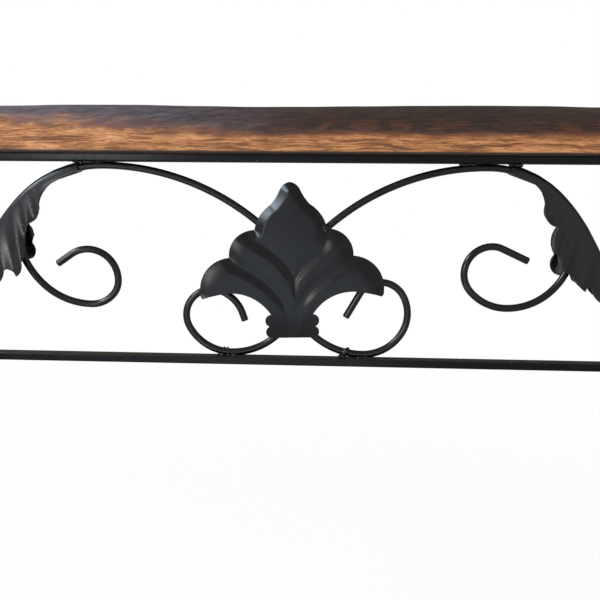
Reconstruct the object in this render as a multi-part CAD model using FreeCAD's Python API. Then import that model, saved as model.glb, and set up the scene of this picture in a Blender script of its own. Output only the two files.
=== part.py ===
import FreeCAD, Part
import math
import os
from FreeCAD import Vector

# Wall shelf: a thick plank on a welded iron frame with a scrolled apron.
# Millimetres. X runs along the shelf, the wall is the plane Y = 0, the front faces -Y, Z is up.
# The origin is the middle of the four wall screw holes.

# Board
board_length = 640.0
board_depth = 82.0
board_thickness = 31.2
board_end_overhang = 40.0
board_front_overhang = 5.0
bevel_run = 9.0
bevel_heights = [10.0, 9.0, 12.0, 17.0, 15.5, 17.0, 14.5, 16.0]
bevel_bulge = 1.6

# Flat bar of the frame
bar_width = 12.7
bar_thickness = 4.8
bar_edge_radius = 0.5
apron_clear_height = 127.0

# Wall uprights
upright_width = 19.0
wall_hole_diameter = 5.5
wall_hole_spacing_z = 100.0
wall_hole_inset = 9.5

# Wood screws through the side bars into the board
screw_diameter = 4.0
screw_length = 22.0
screw_head_diameter = 8.0
screw_head_height = 2.6
screw_bar_clearance = 0.5
screw_pilot_clearance = 0.1
screw_end_inset = 15.0

# Scroll wires: bends are (radius of the wire's centre line, turn in degrees), from the
# straight stretch beside the middle of the shelf outwards
wire_diameter = 4.76
wire_middle_gap = 0.6
wire_seat_gap = 0.2
left_wire = {
    "arch": [(25.6, 45.0), (163.2, 45.0)],
    "shoulder": [(75.0, 45.0), (20.8, 45.0)],
    "outer_curl": [(57.4, 45.0), (48.3, 45.0), (18.9, 50.0), (14.2, 40.0), (20.5, 90.0), (18.8, 35.0)],
    "outer_tail": 11.5,
    "foot": [(20.9, 45.0), (44.2, 45.0)],
    "inner_curl": [(32.4, 60.0), (16.6, 60.0), (17.1, 80.0), (24.1, 50.0)],
    "inner_tail": 5.4,
}
right_wire = {
    "arch": [(44.6, 45.0), (154.0, 45.0)],
    "shoulder": [(62.0, 45.0), (40.2, 45.0)],
    "outer_curl": [(44.5, 45.0), (40.6, 45.0), (30.8, 50.0), (16.9, 40.0), (17.9, 90.0), (14.4, 25.0)],
    "outer_tail": 18.5,
    "foot": [(30.0, 45.0), (49.0, 45.0)],
    "inner_curl": [(29.8, 60.0), (24.4, 60.0), (16.6, 80.0), (15.1, 40.0)],
    "inner_tail": 18.2,
}

# Stamped sheet
sheet_thickness = 1.2

# Palmette
palmette_width = 119.0
palmette_foot_gap = 12.0
palmette_top_gap = 12.6
palmette_shift = 0.8
palmette_relief = 7.0
palmette_bevel = 10.0
palmette_rim_drop = 4.0
palmette_crease_width = 8.0
palmette_crease_share = 0.95
palmette_foot_ramp = 26.0
palmette_lean = 1.8
palmette_seat_gap = 0.4

# Leaf
leaf_wire_clearance = 0.35
leaf_back_radius = 120.0
leaf_back_turn = 17.0
leaf_straight = 24.0
leaf_tip_radius = 45.0
leaf_tip_turn = 35.0
leaf_stem_depth = 6.5
leaf_stem_starts = {"left": 16.0, "right": 14.5}
leaf_opening = 8.0
leaf_flute = 1.6
leaf_middle_share = 0.55
leaf_side_bulge = 0.4
leaf_tip_round = 2.0

# Weld beads
bead_length = 9.0
bead_height = 2.4
bead_sides = 8
# Places along a bead, as shares of its length, and how far it has swelled there
bead_swell = [(-0.5, 0.35), (-0.3, 0.9), (0.3, 1.0), (0.5, 0.45)]
palmette_bead_height = 3.2
palmette_bead_share = 0.045
# Where each wire meets the top rail: distance outwards from its apex, length and height of the bead
weld_places = {"left": [(9.0, 22.0, 2.6)], "right": [(-13.0, 12.0, 2.6), (17.0, 9.0, 3.4)]}

# Worked-out places
wire_radius = wire_diameter / 2
frame_length = board_length - 2 * board_end_overhang
frame_half = frame_length / 2
frame_height = apron_clear_height + 2 * bar_thickness
frame_top = frame_height / 2
frame_bottom = -frame_height / 2
apron_top = frame_top - bar_thickness
apron_bottom = frame_bottom + bar_thickness
rail_front = -board_depth + board_front_overhang
rail_back = rail_front + bar_width
wire_plane = rail_front + bar_width / 2
hole_x = frame_half - wall_hole_inset
sides = {"left": -1, "right": 1}
halves = {"front": -1, "rear": 1}
tolerance = 0.001
wires = {"left": left_wire, "right": right_wire}


def box(x0, x1, y0, y1, z0, z1):
    corner = Vector(min(x0, x1), min(y0, y1), min(z0, z1))
    return Part.makeBox(abs(x1 - x0), abs(y1 - y0), abs(z1 - z0), corner)


def flat_bar(x0, x1, y0, y1, z0, z1):
    bar = box(x0, x1, y0, y1, z0, z1)
    length = max(abs(x1 - x0), abs(y1 - y0), abs(z1 - z0))
    long_edges = [edge for edge in bar.Edges if edge.Length > length - tolerance]
    return bar.makeFillet(bar_edge_radius, long_edges)


def arc(first, middle, last):
    return Part.Arc(first, middle, last).toShape()


def line(first, last):
    return Part.LineSegment(first, last).toShape()


# Board

def bevel_section(x, height):
    front = -board_depth
    top = frame_top + board_thickness
    low = Vector(x, front, top - height)
    high = Vector(x, front + bevel_run, top)
    middle = (low + high) / 2
    normal = Vector(0, -height, bevel_run)
    middle = middle + normal * (bevel_bulge / normal.Length)
    outside_high = Vector(x, front + bevel_run, top + bevel_run)
    outside_front = Vector(x, front - bevel_run, top + bevel_run)
    outside_low = Vector(x, front - bevel_run, top - height)
    edges = [arc(low, middle, high), line(high, outside_high), line(outside_high, outside_front)]
    edges += [line(outside_front, outside_low), line(outside_low, low)]
    return Part.Wire(edges)


def screw_places():
    back = -bar_thickness - screw_end_inset
    front = rail_back + screw_end_inset
    x = frame_half - bar_width / 2
    return [Vector(side * x, y, frame_top) for side in (-1, 1) for y in (front, back)]


def shelf_board():
    half = board_length / 2
    board = box(-half, half, -board_depth, 0, frame_top, frame_top + board_thickness)
    step = board_length / (len(bevel_heights) - 1)
    stations = [bevel_section(-half + step * i, height) for i, height in enumerate(bevel_heights)]
    board = board.cut(Part.makeLoft(stations, True, False))
    pilot_depth = screw_length - bar_thickness + screw_pilot_clearance
    for place in screw_places():
        pilot = Part.makeCylinder(screw_diameter / 2 + screw_pilot_clearance / 2, pilot_depth, place)
        board = board.cut(pilot)
    return board


def board_screw(place):
    under = place - Vector(0, 0, bar_thickness)
    shank = Part.makeCylinder(screw_diameter / 2, screw_length, under)
    dome_radius = (screw_head_diameter ** 2 / 4 + screw_head_height ** 2) / (2 * screw_head_height)
    ball = Part.makeSphere(dome_radius, under + Vector(0, 0, dome_radius - screw_head_height))
    lowest = under - Vector(0, 0, screw_head_height)
    cap = Part.makeCylinder(screw_head_diameter / 2, screw_head_height, lowest)
    return shank.fuse(cap.common(ball)).removeSplitter()


# Frame

def side_top_bar(side):
    bar = flat_bar(side * frame_half, side * (frame_half - bar_width),
                   rail_back, -bar_thickness, apron_top, frame_top)
    hole_radius = (screw_diameter + screw_bar_clearance) / 2
    for place in screw_places():
        hole = Part.makeCylinder(hole_radius, bar_thickness, place - Vector(0, 0, bar_thickness))
        bar = bar.cut(hole)
    return bar


def side_bottom_bar(side):
    return flat_bar(side * frame_half, side * (frame_half - bar_width),
                    rail_back, -bar_thickness, frame_bottom, apron_bottom)


def end_post(side):
    return flat_bar(side * frame_half, side * (frame_half - bar_thickness),
                    rail_front, rail_back, apron_bottom, apron_top)


def wall_upright(side):
    bar = flat_bar(side * frame_half, side * (frame_half - upright_width),
                   -bar_thickness, 0, frame_bottom, frame_top)
    for z in (-wall_hole_spacing_z / 2, wall_hole_spacing_z / 2):
        start = Vector(side * hole_x, -bar_thickness, z)
        bar = bar.cut(Part.makeCylinder(wall_hole_diameter / 2, bar_thickness, start, Vector(0, 1, 0)))
    return bar


# Scroll wires

def bend_run(start, heading, bends, turn, side):
    """Tangent arcs one after another; returns their point triples, the end and the heading there."""
    runs = []
    point = start
    angle = math.radians(heading)
    for radius, degrees in bends:
        triple = [point]
        for share in (0.5, 1.0):
            later = angle + turn * share * math.radians(degrees)
            across = radius * turn * (math.sin(later) - math.sin(angle))
            up = -radius * turn * (math.cos(later) - math.cos(angle))
            triple.append(point + Vector(side * across, 0, up))
        runs.append(triple)
        point = triple[2]
        angle += turn * math.radians(degrees)
    return runs, point, angle


def tail_run(point, angle, length, side):
    end = point + Vector(side * math.cos(angle), 0, math.sin(angle)) * length
    return [point, (point + end) / 2, end]


def quarter_height(bends):
    """Height of two bends that turn a vertical wire level."""
    (first, degrees), (second, _) = bends
    sine = math.sin(math.radians(degrees))
    return first * sine + second * (1 - sine)


def quarter_reach(bends):
    (first, degrees), (second, _) = bends
    cosine = math.cos(math.radians(degrees))
    return first * (1 - cosine) + second * cosine


middle_x = wire_radius + wire_middle_gap / 2
wire_top = apron_top - wire_radius - wire_seat_gap
wire_foot = apron_bottom + wire_radius + wire_seat_gap

# In a low apron the arch and the foot are bent tighter, so that the straight stretch between
# them keeps room for the bead that joins the two wires
for wire in wires.values():
    bends_height = quarter_height(wire["arch"]) + quarter_height(wire["foot"])
    tighter = min(1.0, (wire_top - wire_foot - bead_length) / bends_height)
    for quarter in ("arch", "foot"):
        wire[quarter] = [(radius * tighter, turn) for radius, turn in wire[quarter]]


def apex(name):
    return Vector(sides[name] * (middle_x + quarter_reach(wires[name]["arch"])), wire_plane, wire_top)


def foot(name):
    return Vector(sides[name] * (middle_x + quarter_reach(wires[name]["foot"])), wire_plane, wire_foot)


def scroll_runs(name):
    wire = wires[name]
    side = sides[name]
    upper = Vector(side * middle_x, wire_plane, wire_top - quarter_height(wire["arch"]))
    lower = Vector(side * middle_x, wire_plane, wire_foot + quarter_height(wire["foot"]))
    rising = wire["arch"] + wire["shoulder"] + wire["outer_curl"]
    up_runs, up_end, up_angle = bend_run(upper, 90, rising, -1, side)
    up_runs.append(tail_run(up_end, up_angle, wire["outer_tail"], side))
    down_runs, down_end, down_angle = bend_run(lower, -90, wire["foot"] + wire["inner_curl"], 1, side)
    down_runs.append(tail_run(down_end, down_angle, wire["inner_tail"], side))
    inward = [run[::-1] for run in down_runs[::-1]]
    straight = [lower, (lower + upper) / 2, upper]
    return inward + [straight] + up_runs


def scroll(name):
    edges = []
    for first, middle, last in scroll_runs(name):
        bow = (first + last) / 2 - middle
        edges.append(line(first, last) if bow.Length < tolerance else arc(first, middle, last))
    path = Part.Wire(edges)
    start = scroll_runs(name)[0]
    profile = Part.Wire(Part.makeCircle(wire_radius, start[0], start[2] - start[0]))
    return path.makePipeShell([profile], True, False)


# Palmette: its outline is drawn from the middle of its foot and then scaled to size

drawn_width = 119.0
drawn_height = 103.0
palmette_height = apron_clear_height - palmette_foot_gap - palmette_top_gap


def petal_point(x, z):
    return Vector(x * palmette_width / drawn_width, 0, z * palmette_height / drawn_height)


def petal_arcs(side, triples):
    return [arc(*[petal_point(side * x, z) for x, z in triple]) for triple in triples]


# Right half of the outline, from the tip down: rounded tip, hollow flank, full shoulder,
# edge of the middle petal, edge of the lower petal
upper_edge = [
    [(0.0, 103.0), (4.2, 101.2), (6.6, 98.0)],
    [(6.6, 98.0), (9.2, 93.1), (12.8, 88.5)],
    [(12.8, 88.5), (20.0, 81.4), (23.6, 72.5)],
    [(23.6, 72.5), (36.4, 66.6), (40.3, 54.7)],
    [(40.3, 54.7), (55.2, 46.9), (59.5, 31.5)],
]
# Then the corner of the lower petal, its hollow underside and the two beads of the stem
lower_edge = [
    [(59.5, 31.5), (59.3, 29.6), (58.0, 28.0)],
    [(58.0, 28.0), (51.0, 29.9), (44.0, 31.2)],
    [(44.0, 31.2), (27.8, 29.2), (13.7, 17.2)],
    [(13.7, 17.2), (17.5, 12.6), (14.9, 9.2)],
    [(14.9, 9.2), (17.3, 5.8), (11.9, 1.6)],
]
# Guides of the relief, each from below the foot to just outside the edge
petal_guides = {
    "middle": [(0.0, -4.0), (0.0, 16.0), (0.0, 35.0), (0.0, 62.0), (0.0, 92.0), (0.0, 107.0)],
    "top_shoulder": [(2.0, -4.0), (1.4, 17.0), (1.3, 33.5), (8.0, 55.0), (18.5, 80.0), (22.0, 85.0)],
    "upper_crease": [(4.0, -4.0), (2.8, 17.0), (2.4, 31.5), (14.0, 51.0), (23.6, 72.5), (25.0, 76.0)],
    "middle_petal": [(7.2, -4.0), (5.0, 14.0), (5.2, 26.0), (17.5, 45.0), (34.0, 64.5), (38.5, 69.0)],
    "lower_crease": [(10.5, -4.0), (7.4, 10.0), (7.2, 18.0), (19.5, 38.0), (40.3, 54.7), (43.2, 57.5)],
    "lower_petal": [(15.5, -4.0), (13.2, 8.0), (13.5, 15.5), (26.5, 33.5), (53.0, 45.0), (58.0, 49.0)],
    "underside": [(21.0, -4.0), (20.5, 6.0), (21.0, 13.0), (34.0, 27.0), (57.0, 26.0), (62.5, 27.0)],
}
crease_guides = ["upper_crease", "lower_crease"]
guide_stations = [0.0, 0.18, 0.34, 0.62, 0.92, 1.0]
crease_start_share = 0.26
crease_end_share = 0.92
columns_per_guide = 3
relief_rows = 24
relief_degree = 3


def palmette_outline():
    right = petal_arcs(1, upper_edge + lower_edge)
    left = petal_arcs(-1, upper_edge + lower_edge)
    foot_x, foot_z = lower_edge[-1][2]
    foot_line = line(petal_point(-foot_x, foot_z), petal_point(foot_x, foot_z))
    return Part.Wire(Part.__sortEdges__(right + left + [foot_line]))


def under_upper_edge():
    """Face below the upper edge of the petals, open-ended at the foot."""
    edges = petal_arcs(-1, upper_edge) + petal_arcs(1, upper_edge)
    corner_x, corner_z = upper_edge[-1][2]
    floor = -corner_z
    corners = [petal_point(x, z) for x, z in
               ((-corner_x, corner_z), (-corner_x, floor), (corner_x, floor), (corner_x, corner_z))]
    edges += [line(a, b) for a, b in zip(corners, corners[1:])]
    return Part.Face(Part.Wire(Part.__sortEdges__(edges)))


def ramp(share):
    return min(1.0, max(0.0, share))


palmette_rim = palmette_relief * ramp(palmette_rim_drop / (palmette_bevel + palmette_rim_drop))


def guide_curve(guide, side):
    curve = Part.BSplineCurve()
    curve.interpolate(Points=[petal_point(side * x, z) for x, z in guide], Parameters=guide_stations)
    return curve


def relief_columns():
    """Points of the right half, column by column from the middle outwards, then both halves."""
    curves = [guide_curve(guide, 1) for guide in petal_guides.values()]
    shares = [row / (relief_rows - 1) for row in range(relief_rows)]
    right = []
    for inner, outer in zip(curves, curves[1:]):
        for step in range(columns_per_guide):
            blend = step / columns_per_guide
            right.append([inner.value(t) * (1 - blend) + outer.value(t) * blend for t in shares])
    right.append([curves[-1].value(t) for t in shares])
    left = [[Vector(-point.x, 0, point.z) for point in column] for column in right[:0:-1]]
    return left + right


def relief_height(point, rim_edges, inside, creases):
    """Petals swell from the rim and the creases, and the stem falls back to the level of the rim."""
    vertex = Part.Vertex(point)
    from_rim = vertex.distToShape(rim_edges)[0]
    if not inside.isInside(point, tolerance, True):
        from_rim = -from_rim
    swell = ramp((from_rim + palmette_rim_drop) / (palmette_bevel + palmette_rim_drop))
    crease = (1 - ramp(vertex.distToShape(creases)[0] / palmette_crease_width)) ** 2
    above_rim = (palmette_relief * swell - palmette_rim) * (1 - palmette_crease_share * crease)
    return palmette_rim + above_rim * ramp(point.z / palmette_foot_ramp)


def even_knots(count):
    inner = count - relief_degree - 1
    multiples = [relief_degree + 1] + [1] * inner + [relief_degree + 1]
    return multiples, list(range(inner + 2))


def palmette():
    rim_edges = Part.Compound(petal_arcs(-1, upper_edge) + petal_arcs(1, upper_edge))
    crease_curves = [guide_curve(petal_guides[guide], side) for guide in crease_guides
                     for side in (-1, 1)]
    creases = Part.Compound([curve.toShape(crease_start_share, crease_end_share) for curve in crease_curves])
    inside = under_upper_edge()
    poles = []
    for column in relief_columns():
        heights = [relief_height(point, rim_edges, inside, creases) for point in column]
        poles.append([point - Vector(0, height, 0) for point, height in zip(column, heights)])
    column_multiples, column_knots = even_knots(len(poles))
    row_multiples, row_knots = even_knots(relief_rows)
    surface = Part.BSplineSurface()
    surface.buildFromPolesMultsKnots(poles, column_multiples, row_multiples, column_knots, row_knots,
                                     False, False, relief_degree, relief_degree)
    sheet = surface.toShape().extrude(Vector(0, -sheet_thickness, 0))
    blank = Part.Face(palmette_outline())
    depth = 2 * (palmette_relief + sheet_thickness)
    blank.translate(Vector(0, -depth, 0))
    stamped = sheet.common(blank.extrude(Vector(0, 2 * depth, 0)))
    stamped.rotate(Vector(0, 0, 0), Vector(0, 1, 0), -palmette_lean)
    seat = wire_plane - wire_radius - palmette_seat_gap + palmette_rim
    stamped.translate(Vector(palmette_shift, seat, apron_bottom + palmette_foot_gap))
    return stamped


# Leaf: places are (distance along the spine from the apex of the wire, distance in from the spine)

fold_inner = wire_radius + leaf_wire_clearance
fold_outer = fold_inner + sheet_thickness


def spine_parts(name):
    """Radius, turn and sign of each stretch of the spine; a straight has no turn."""
    shoulder_radius, shoulder_turn = wires[name]["shoulder"][0]
    return [
        (shoulder_radius + fold_outer, shoulder_turn, -1),
        (leaf_back_radius, leaf_back_turn, -1),
        (leaf_straight, 0.0, 0),
        (leaf_tip_radius, leaf_tip_turn, 1),
    ]


def spine_place(name, distance):
    """Point and heading of the spine at a distance from the apex."""
    x = 0.0
    z = fold_outer
    angle = 0.0
    left = distance
    parts = spine_parts(name)
    for index, (size, turn, sign) in enumerate(parts):
        length = size * math.radians(turn) if turn else size
        used = left if index == len(parts) - 1 else min(left, length)
        if turn:
            later = angle + sign * used / size
            x += size * sign * (math.sin(later) - math.sin(angle))
            z -= size * sign * (math.cos(later) - math.cos(angle))
            angle = later
        else:
            x += used * math.cos(angle)
            z += used * math.sin(angle)
        left -= used
        if left <= 0:
            break
    return x, z, angle


def leaf_point(name, distance, inward, sideways=0.0, lean=0.0):
    """Point at a distance in from the spine, along a vein that leans towards the tip."""
    x, z, angle = spine_place(name, distance)
    vein = angle - math.pi / 2 + math.radians(lean)
    x += inward * math.cos(vein)
    z += inward * math.sin(vein)
    start = apex(name)
    return Vector(start.x + sides[name] * x, wire_plane + sideways, start.z + z)


# Edge of each half from the stem to the tip: flare of the stem, three round lobes, two pointed lobes
# and the tip. The leaves were slid on and pinched by hand, so the halves and the two leaves differ.
leaf_edges = {
    "left": {
        "front": [
            [(36.0, 8.2), (46.0, 10.4), (54.0, 15.2)],
            [(54.0, 15.2), (64.0, 20.8), (71.5, 19.3)],
            [(71.5, 19.3), (79.0, 21.6), (87.0, 25.6)],
            [(87.0, 25.6), (94.0, 28.9), (100.0, 30.0)],
            [(100.0, 30.0), (106.0, 32.4), (111.0, 30.2)],
            [(111.0, 30.2), (108.8, 25.5), (110.5, 21.5)],
            [(110.5, 21.5), (117.5, 22.5), (123.0, 19.0)],
            [(123.0, 19.0), (122.5, 15.5), (123.5, 12.0)],
            [(123.5, 12.0), (132.0, 10.5), (139.0, 4.0)],
        ],
        "rear": [
            [(36.0, 6.4), (48.0, 6.9), (57.0, 10.8)],
            [(57.0, 10.8), (66.0, 15.8), (75.0, 15.6)],
            [(75.0, 15.6), (79.5, 22.3), (86.3, 24.2)],
            [(86.3, 24.2), (92.5, 29.8), (100.5, 26.8)],
            [(100.5, 26.8), (102.5, 23.0), (104.5, 20.5)],
            [(104.5, 20.5), (108.5, 21.5), (111.5, 20.0)],
            [(111.5, 20.0), (111.0, 17.5), (112.0, 15.0)],
            [(112.0, 15.0), (118.0, 16.5), (123.0, 13.5)],
            [(123.0, 13.5), (122.8, 11.5), (123.8, 9.5)],
            [(123.8, 9.5), (132.0, 8.8), (139.0, 4.0)],
        ],
    },
    "right": {
        "front": [
            [(34.0, 7.4), (43.0, 10.6), (50.0, 16.0)],
            [(50.0, 16.0), (58.0, 20.0), (67.5, 17.0)],
            [(67.5, 17.0), (74.5, 24.8), (86.0, 26.8)],
            [(86.0, 26.8), (93.0, 28.6), (100.0, 25.5)],
            [(100.0, 25.5), (107.0, 24.4), (114.0, 21.5)],
            [(114.0, 21.5), (112.8, 19.0), (113.5, 16.3)],
            [(113.5, 16.3), (119.5, 18.2), (124.0, 15.5)],
            [(124.0, 15.5), (123.3, 12.8), (124.0, 10.0)],
            [(124.0, 10.0), (132.0, 9.3), (139.0, 4.0)],
        ],
        "rear": [
            [(34.0, 6.2), (43.5, 8.2), (50.0, 12.0)],
            [(50.0, 12.0), (58.5, 17.2), (68.0, 15.0)],
            [(68.0, 15.0), (75.0, 22.8), (86.0, 25.4)],
            [(86.0, 25.4), (93.5, 31.2), (102.0, 25.5)],
            [(102.0, 25.5), (102.2, 23.5), (102.8, 22.0)],
            [(102.8, 22.0), (106.5, 22.6), (109.5, 21.0)],
            [(109.5, 21.0), (109.3, 18.3), (110.5, 15.8)],
            [(110.5, 15.8), (117.0, 16.5), (122.5, 13.5)],
            [(122.5, 13.5), (122.0, 11.5), (123.0, 9.5)],
            [(123.0, 9.5), (131.0, 8.8), (139.0, 4.0)],
        ],
    },
}
# Sections across the fold: distance along the spine, reach, lean of the vein, flute out or in
leaf_sections = [
    (12.0, 10.0, 0.0, 0.0),
    (22.0, 11.0, 0.0, 0.0),
    (33.0, 13.0, 4.0, 0.0),
    (43.0, 20.0, 10.0, -0.4),
    (50.0, 28.0, 18.0, 1.0),
    (54.5, 36.0, 24.0, -1.0),
    (59.0, 43.0, 29.0, 1.0),
    (64.0, 50.0, 33.0, -1.0),
    (69.0, 54.0, 36.0, 1.0),
    (79.0, 52.0, 39.0, -1.0),
    (90.0, 46.0, 41.0, 1.0),
    (101.0, 36.0, 42.0, -1.0),
    (112.0, 28.0, 42.0, 1.0),
    (124.0, 22.0, 42.0, -0.5),
    (136.0, 16.0, 42.0, 0.0),
]


def fold_skin(name, section, radius):
    """Half-round back of the fold and its two sides, as edges from the rear lip to the front lip."""
    distance, reach, lean, flute = section
    spread = math.tan(math.radians(leaf_opening)) * (reach - fold_outer) + flute * leaf_flute
    bulge = spread * leaf_middle_share + leaf_side_bulge
    half = [(reach, radius + spread), ((reach + fold_outer) / 2, radius + bulge), (fold_outer, radius)]
    rear = [leaf_point(name, distance, inward, y, lean) for inward, y in half]
    front = [leaf_point(name, distance, inward, -y, lean) for inward, y in half[::-1]]
    turn = leaf_point(name, distance, fold_outer - radius, 0.0, lean)
    return arc(*rear), arc(rear[2], turn, front[0]), arc(*front)


def fold_section(name, section):
    outer = fold_skin(name, section, fold_outer)
    inner = fold_skin(name, section, fold_inner)
    rear_lip = line(inner[0].Vertexes[0].Point, outer[0].Vertexes[0].Point)
    front_lip = line(outer[2].Vertexes[1].Point, inner[2].Vertexes[1].Point)
    return Part.Wire(list(outer) + [front_lip] + [edge for edge in inner[::-1]] + [rear_lip])


def leaf_blank(name, half):
    """Prism with the outline of one half, from the middle of the fold out to that side."""
    leaf_edge = leaf_edges[name][half]
    edges = [arc(*[leaf_point(name, s, n) for s, n in triple]) for triple in leaf_edge]
    outside = -3 * fold_outer
    tip, tip_in = leaf_edge[-1][2]
    corners = [leaf_point(name, tip, tip_in), leaf_point(name, tip + leaf_tip_round, 0)]
    corners += [leaf_point(name, section[0], outside) for section in leaf_sections[:1:-1]]
    corners.append(leaf_point(name, leaf_stem_starts[name], outside))
    corners.append(leaf_point(name, leaf_stem_starts[name], leaf_stem_depth))
    corners.append(leaf_point(name, *leaf_edge[0][0]))
    edges += [line(a, b) for a, b in zip(corners, corners[1:])]
    blank = Part.Face(Part.Wire(Part.__sortEdges__(edges)))
    return blank.extrude(Vector(0, halves[half] * board_depth, 0))


def leaf(name):
    folded = Part.makeLoft([fold_section(name, section) for section in leaf_sections], True, True)
    front = folded.common(leaf_blank(name, "front"))
    rear = folded.common(leaf_blank(name, "rear"))
    return front.fuse(rear)


# Weld beads: a lump of metal that swells from its ends, less the pieces that it joins

def bead_ring(centre, axis, radius):
    across = axis.cross(Vector(axis.z, axis.x, axis.y)).normalize()
    other = axis.cross(across).normalize()
    points = []
    for corner in range(bead_sides):
        angle = 2 * math.pi * corner / bead_sides
        points.append(centre + (across * math.cos(angle) + other * math.sin(angle)) * radius)
    return Part.makePolygon(points + points[:1])


def bead(middle, along, length, height, joined):
    axis = Vector(along).normalize()
    rings = [bead_ring(middle + axis * (length * place), axis, height * swell) for place, swell in bead_swell]
    lump = Part.makeLoft(rings, True, True)
    for piece in joined:
        lump = lump.cut(piece)
    return lump.Solids


def on_wire(name, bend, share):
    """Point on the centre line, at a share of one bend counted from the inner tail."""
    edge = arc(*scroll_runs(name)[bend])
    return edge.valueAt(edge.FirstParameter + share * (edge.LastParameter - edge.FirstParameter))


def frame_corner_welds(pieces):
    beads = []
    along_x = Vector(1, 0, 0)
    along_y = Vector(0, 1, 0)
    for name, side in sides.items():
        top_bar = pieces[name + "_side_top_bar"]
        bottom_bar = pieces[name + "_side_bottom_bar"]
        post = pieces[name + "_end_post"]
        upright = pieces[name + "_wall_upright"]
        inner_x = side * (frame_half - bar_thickness)
        bar_x = side * (frame_half - (bar_width + bar_thickness) / 2)
        back_x = side * (frame_half - bar_width / 2)
        for z, rail, bar in ((apron_top, pieces["front_top_rail"], top_bar),
                             (apron_bottom, pieces["front_bottom_rail"], bottom_bar)):
            joined = [rail, bar, post, upright]
            beads += bead(Vector(inner_x, wire_plane, z), along_y, bead_length, bead_height, joined)
            beads += bead(Vector(bar_x, rail_back, z), along_x, bar_width - bar_thickness,
                          bead_height / 2, joined)
            beads += bead(Vector(back_x, -bar_thickness, z), along_x, bead_length, bead_height, joined)
    return Part.Compound(beads)


def scroll_top_welds(pieces):
    beads = []
    for name, side in sides.items():
        joined = [pieces["front_top_rail"], pieces[name + "_scroll"], pieces[name + "_leaf"]]
        top = apex(name)
        for offset, length, height in weld_places[name]:
            middle = Vector(top.x + side * offset, wire_plane, apron_top)
            beads += bead(middle, Vector(1, 0, 0), length, height, joined)
    return Part.Compound(beads)


def scroll_bottom_welds(pieces):
    beads = []
    for name in sides:
        joined = [pieces["front_bottom_rail"], pieces[name + "_scroll"]]
        beads += bead(Vector(foot(name).x, wire_plane, apron_bottom + wire_seat_gap), Vector(1, 0, 0),
                      bead_length, wire_radius + wire_seat_gap, joined)
    return Part.Compound(beads)


def palmette_welds(pieces):
    """Beads behind the sheet, on the second bend of each arch."""
    beads = []
    for name in sides:
        joined = [pieces["palmette"], pieces[name + "_scroll"]]
        tail_straight_first_bend = 3
        bend = len(wires[name]["inner_curl"]) + len(wires[name]["foot"]) + tail_straight_first_bend
        front = Vector(0, wire_radius, 0)
        middle = on_wire(name, bend, palmette_bead_share) - front
        ahead = on_wire(name, bend, 2 * palmette_bead_share) - front
        lumps = bead(middle, ahead - middle, bead_length, palmette_bead_height, joined)
        beads.append(max(lumps, key=lambda lump: lump.CenterOfMass.y))
    return Part.Compound(beads)


def scroll_centre_welds(pieces):
    low = max(wire_foot + quarter_height(wires[name]["foot"]) for name in sides)
    high = min(wire_top - quarter_height(wires[name]["arch"]) for name in sides)
    joined = [pieces["left_scroll"], pieces["right_scroll"], pieces["palmette"]]
    middle = Vector(0, wire_plane + wire_radius, (low + high) / 2)
    return Part.Compound(bead(middle, Vector(0, 0, 1), bead_length, bead_height, joined))


def leaf_welds(pieces):
    beads = []
    for name in sides:
        joined = [pieces[name + "_leaf"], pieces[name + "_scroll"], pieces["scroll_top_welds"]]
        middle = leaf_point(name, leaf_stem_starts[name], fold_outer, wire_radius)
        beads += bead(middle, Vector(0, 0, 1), bead_length / 2, bead_height, joined)
    return Part.Compound(beads)


def shelf_pieces():
    pieces = {"shelf_board": shelf_board()}
    pieces["board_screws"] = Part.Compound([board_screw(place) for place in screw_places()])
    pieces["front_top_rail"] = flat_bar(-frame_half, frame_half, rail_front, rail_back, apron_top, frame_top)
    pieces["front_bottom_rail"] = flat_bar(-frame_half, frame_half, rail_front, rail_back,
                                           frame_bottom, apron_bottom)
    for name, side in sides.items():
        pieces[name + "_side_top_bar"] = side_top_bar(side)
        pieces[name + "_side_bottom_bar"] = side_bottom_bar(side)
        pieces[name + "_end_post"] = end_post(side)
        pieces[name + "_wall_upright"] = wall_upright(side)
        pieces[name + "_scroll"] = scroll(name)
        pieces[name + "_leaf"] = leaf(name)
    pieces["palmette"] = palmette()
    for make in (frame_corner_welds, scroll_top_welds, scroll_bottom_welds, palmette_welds,
                 scroll_centre_welds, leaf_welds):
        pieces[make.__name__] = make(pieces)
    return pieces


os.makedirs("parts", exist_ok=True)
for node, shape in shelf_pieces().items():
    shape.exportStep("parts/" + node + ".step")
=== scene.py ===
import cmath
import math

import bmesh
import bpy
import numpy
from mathutils import Matrix, Vector, geometry, kdtree, noise


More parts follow.
